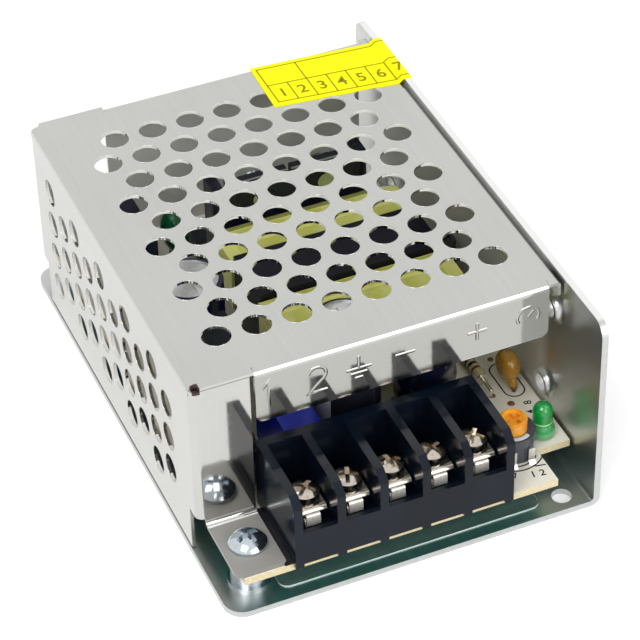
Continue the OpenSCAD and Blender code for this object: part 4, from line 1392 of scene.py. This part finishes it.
@dataclass
class TerminalLips:
    """Bright lips at the front of the terminal strips, one below each clamp plate."""

    count: int = 5
    width: float = 2.1 * MM
    thickness: float = 0.3 * MM
    ahead: float = 0.05 * MM
    path: tuple[Flat, ...] = (
        (0.0, 11.7 * MM), (0.0, 12.95 * MM), (0.072 * MM, 13.25 * MM), (0.18 * MM, 13.45 * MM),
    )

    def fill(self, bm: bmesh.types.BMesh) -> None:
        """Fold each lip from the strip's front edge, its top leaning back a little."""
        low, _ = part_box("terminal_strips")
        for i in range(1, self.count + 1):
            at = (centre(f"clamp_plate_{i}").x, low.y + self.ahead)
            tab(bm, self.path, at, self.width, self.thickness)

    def build(self) -> None:
        """Build the lips."""
        tin = Plating("lip_tin", (0.92, 0.89, 0.82), 0.28, metallic=0.4).build()
        add_piece("terminal_lips", self.fill, tin)


@dataclass
class TrimmerDetail:
    """Pale ring round the trimmer's knob, and two bright legs at its front."""

    knob_radius: float = 2.2 * MM
    ring_radius: float = 2.9 * MM
    ring_height: float = 0.25 * MM
    leg_width: float = 1.0 * MM
    leg_gap: float = 2.9 * MM
    leg_height: float = 2.7 * MM
    leg_thickness: float = 0.25 * MM
    leg_sunk: float = 0.1 * MM
    leg_foot: float = 0.5 * MM

    def ring(self, bm: bmesh.types.BMesh) -> None:
        """Lay the ring as a rounded band, open at the rear."""
        wide = self.ring_radius - self.knob_radius
        radius = (self.ring_radius + self.knob_radius) / 2
        path = arc(centre("trimmer_rotor").xy, radius, 190, 300, 18)
        sweep(bm, path, stroke(wide, self.ring_height, 6), on_level(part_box("trimmer_body")[1].z))

    def legs(self, bm: bmesh.types.BMesh) -> None:
        """Stand two legs against the front, bent outwards at their feet."""
        low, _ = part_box("trimmer_body")
        foot = self.leg_foot
        path = [(0.0, low.z + self.leg_height), (0.0, low.z + foot), (-foot, low.z)]
        for side in (-1, 1):
            at = (centre("trimmer_body").x + side * self.leg_gap / 2, low.y + self.leg_sunk)
            tab(bm, path, at, self.leg_width, self.leg_thickness)

    def build(self) -> None:
        """Build the ring and the legs."""
        pale = Moulded("pale_phenolic", (0.50, 0.52, 0.54), 0.35).build()
        add_piece("trimmer_ring", self.ring, pale, sharp=40)
        tin = Plating("trimmer_tin", (0.78, 0.77, 0.74), 0.3).build()
        add_piece("trimmer_legs", self.legs, tin)


@dataclass
class Vents:
    """Turned-over lips round the punched vents of the lid and of the left side."""

    lip: float = 0.05 * MM
    sunk: float = 0.6
    largest: float = 3.2 * MM

    def build(self, rings: WireRings, steel: bpy.types.Material) -> None:
        """Build one set of rims for the lid and one for the side.

        Args:
            rings: Draws the rims.
            steel: The cover's material.
        """
        low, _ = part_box("top_cover")
        for name, axis, level, inward, turn in (
            ("lid_vent_rims", 2, LID_TOP, -self.sunk, (0.0, 0.0, 0.0)),
            ("side_vent_rims", 0, low.x, self.sunk, (0.0, math.pi / 2, 0.0)),
        ):
            centres, radius = round_holes("top_cover", axis, level, self.largest)
            for point in centres:
                point[axis] += inward * self.lip
            mesh = rings.mesh(
                name, centres, Length=2 * radius, Width=2 * radius, Corner=radius,
                Wire=self.lip, Turn=turn, Finish=steel,
            )
            LOG.info("%s: %d holes of radius %.2f mm", name, len(centres), radius / MM)
            add_piece(name, mesh, steel)


@dataclass
class Windings:
    """Turns of the line choke, sleeve over the output choke, and laps of the transformer's tape."""

    wire: float = 0.24 * MM
    pitch: float = 0.52 * MM
    sides: int = 56
    sleeve_steps: int = 24
    sleeve_end: float = 0.9 * MM
    sleeve_pull: float = 0.55 * MM
    sleeve_swell: float = 0.10 * MM
    sleeve_mouth: float = 0.6
    lap_width: float = 2.6 * MM
    lap_height: float = 0.06 * MM
    lap_side: float = 2.2 * MM
    lap_end: float = 4.6 * MM
    lap_core: float = 1.8 * MM

    def line_choke(self, rings: WireRings) -> None:
        """Build the turns round the line choke's limb."""
        low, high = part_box("line_choke_winding")
        size, middle = high - low, (low + high) / 2
        count = int((size.z - self.pitch) / self.pitch)
        bottom = middle.z - (count - 1) / 2 * self.pitch
        points = [Vector((middle.x, middle.y, bottom + i * self.pitch)) for i in range(count)]
        copper = Resin("wire_enamel", (0.46, 0.15, 0.04), (0.34, 0.10, 0.03), 0.18, 0.4 * MM).build()
        mesh = rings.mesh(
            "line_choke_turns", points, Length=size.x - self.wire, Width=size.y - self.wire,
            Corner=size.y / 2 - self.wire, Wire=self.wire, Turn=(0.0, 0.0, 0.0), Finish=copper,
        )
        add_piece("line_choke_turns", mesh, copper)

    def sleeve(self) -> None:
        """Build the shrunk sleeve over the output choke, in place of its bare winding."""
        low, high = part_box("output_choke_winding")
        radius, tall = (high.x - low.x) / 2, high.z - low.z
        profile = [(radius * self.sleeve_mouth, low.z)]
        for i in range(self.sleeve_steps + 1):
            t = i / self.sleeve_steps
            end = min(t, 1 - t) * tall / self.sleeve_end
            pull = self.sleeve_pull * max(0.0, 1 - end) ** 2
            swell = self.sleeve_swell * (math.sin(9 * t * math.pi) - 1)
            profile.append((radius - pull + swell, low.z + t * tall))
        profile.append((radius * self.sleeve_mouth, high.z))
        axis_at = centre("output_choke_winding").xy
        fill = partial(lathe, profile=profile, axis_at=axis_at, sides=self.sides)
        navy = Resin("navy_sleeve", (0.006, 0.009, 0.030), (0.004, 0.006, 0.018), 0.20, 2.5 * MM).build()
        piece = add_piece("output_choke_sleeve", fill, navy, sharp=50)
        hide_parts("output_choke_winding")

    def laps(self, bm: bmesh.types.BMesh) -> None:
        """Lay the overlapping ends of the transformer's tape along its two lobes."""
        low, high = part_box("transformer_winding")
        core_low, core_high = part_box("transformer_core")
        outline, place = stroke(self.lap_width, self.lap_height), on_level(high.z)
        left, right = low.x + self.lap_side, high.x - self.lap_side
        ends = (low.y + self.lap_end, high.y - self.lap_end)
        inner = (core_low.y - self.lap_core, core_high.y + self.lap_core)
        for y in (ends[0], *inner, ends[1]):
            sweep(bm, [(left, y), (right, y)], outline, place)

    def build(self, rings: WireRings) -> None:
        """Build every winding detail.

        Args:
            rings: Draws the turns of wire.
        """
        self.line_choke(rings)
        self.sleeve()
        tape = Tape("tape_lap", (0.84, 0.86, 0.22), (0.66, 0.68, 0.12)).build()
        add_piece("tape_laps", self.laps, tape)


@dataclass
class Soldering:
    """Solder joints under the board. Each row of leads is a part, an axis, a count and a pitch in mm."""

    foot: float = 0.75 * MM
    height: float = 0.9 * MM
    seed: int = 7
    leads: tuple[tuple[str, int, int, float], ...] = (
        ("film_capacitor", 1, 2, 10.0), ("inlet_fuse", 0, 2, 5.0), ("main_capacitor", 1, 2, 5.0),
        ("line_choke_core", 1, 2, 7.0), ("suppression_capacitor", 1, 2, 5.0),
        ("inrush_limiter", 1, 2, 7.5), ("bridge_rectifier", 1, 4, 3.8),
        ("transformer_bobbin", 0, 5, 5.0), ("switching_transistor", 0, 3, 2.54),
        ("output_rectifier", 0, 3, 2.54), ("control_chip", 0, 4, 2.54), ("optocoupler", 0, 2, 2.54),
        ("bias_capacitor", 1, 2, 2.5), ("output_choke_core", 0, 2, 8.0), ("indicator_led", 1, 2, 2.54),
        ("dipped_capacitor", 1, 2, 2.54), ("trimmer_body", 0, 3, 2.5), ("band_resistor", 1, 2, 10.0),
    )

    def points(self) -> list[Vector]:
        """Return where the joints go, from the places of the parts they hold."""
        found = []
        for node, axis, count, pitch in self.leads:
            middle = centre(node)
            for i in range(count):
                point = Vector((middle.x, middle.y, BOARD_UNDERSIDE - self.height / 2))
                point[axis] += (i - (count - 1) / 2) * pitch * MM
                found.append(point)
        return found

    def build(self) -> None:
        """Build the joints."""
        solder = Plating("solder", (0.62, 0.63, 0.64), 0.22).build()
        mesh = SolderJoints("solder_joints").mesh(
            "solder_joints", self.points(), Foot=self.foot, Height=self.height, Seed=self.seed,
            Finish=solder,
        )
        add_piece("solder_joints", mesh, solder)


def main() -> None:
    """Build the object's looks in order."""
    logging.basicConfig(level=logging.INFO, format="%(message)s")
    Studio().build()
    Finishes().build()
    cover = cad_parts["top_cover"].material_slots[0].material
    rings = WireRings("wire_rings")
    SealPrint().build()
    FlapMarks().build(cover)
    BoardPrint().build()
    TrimmerDetail().build()
    TerminalLips().build()
    Vents().build(rings, cover)
    Windings().build(rings)
    Soldering().build()


if __name__ == "__main__":
    main()
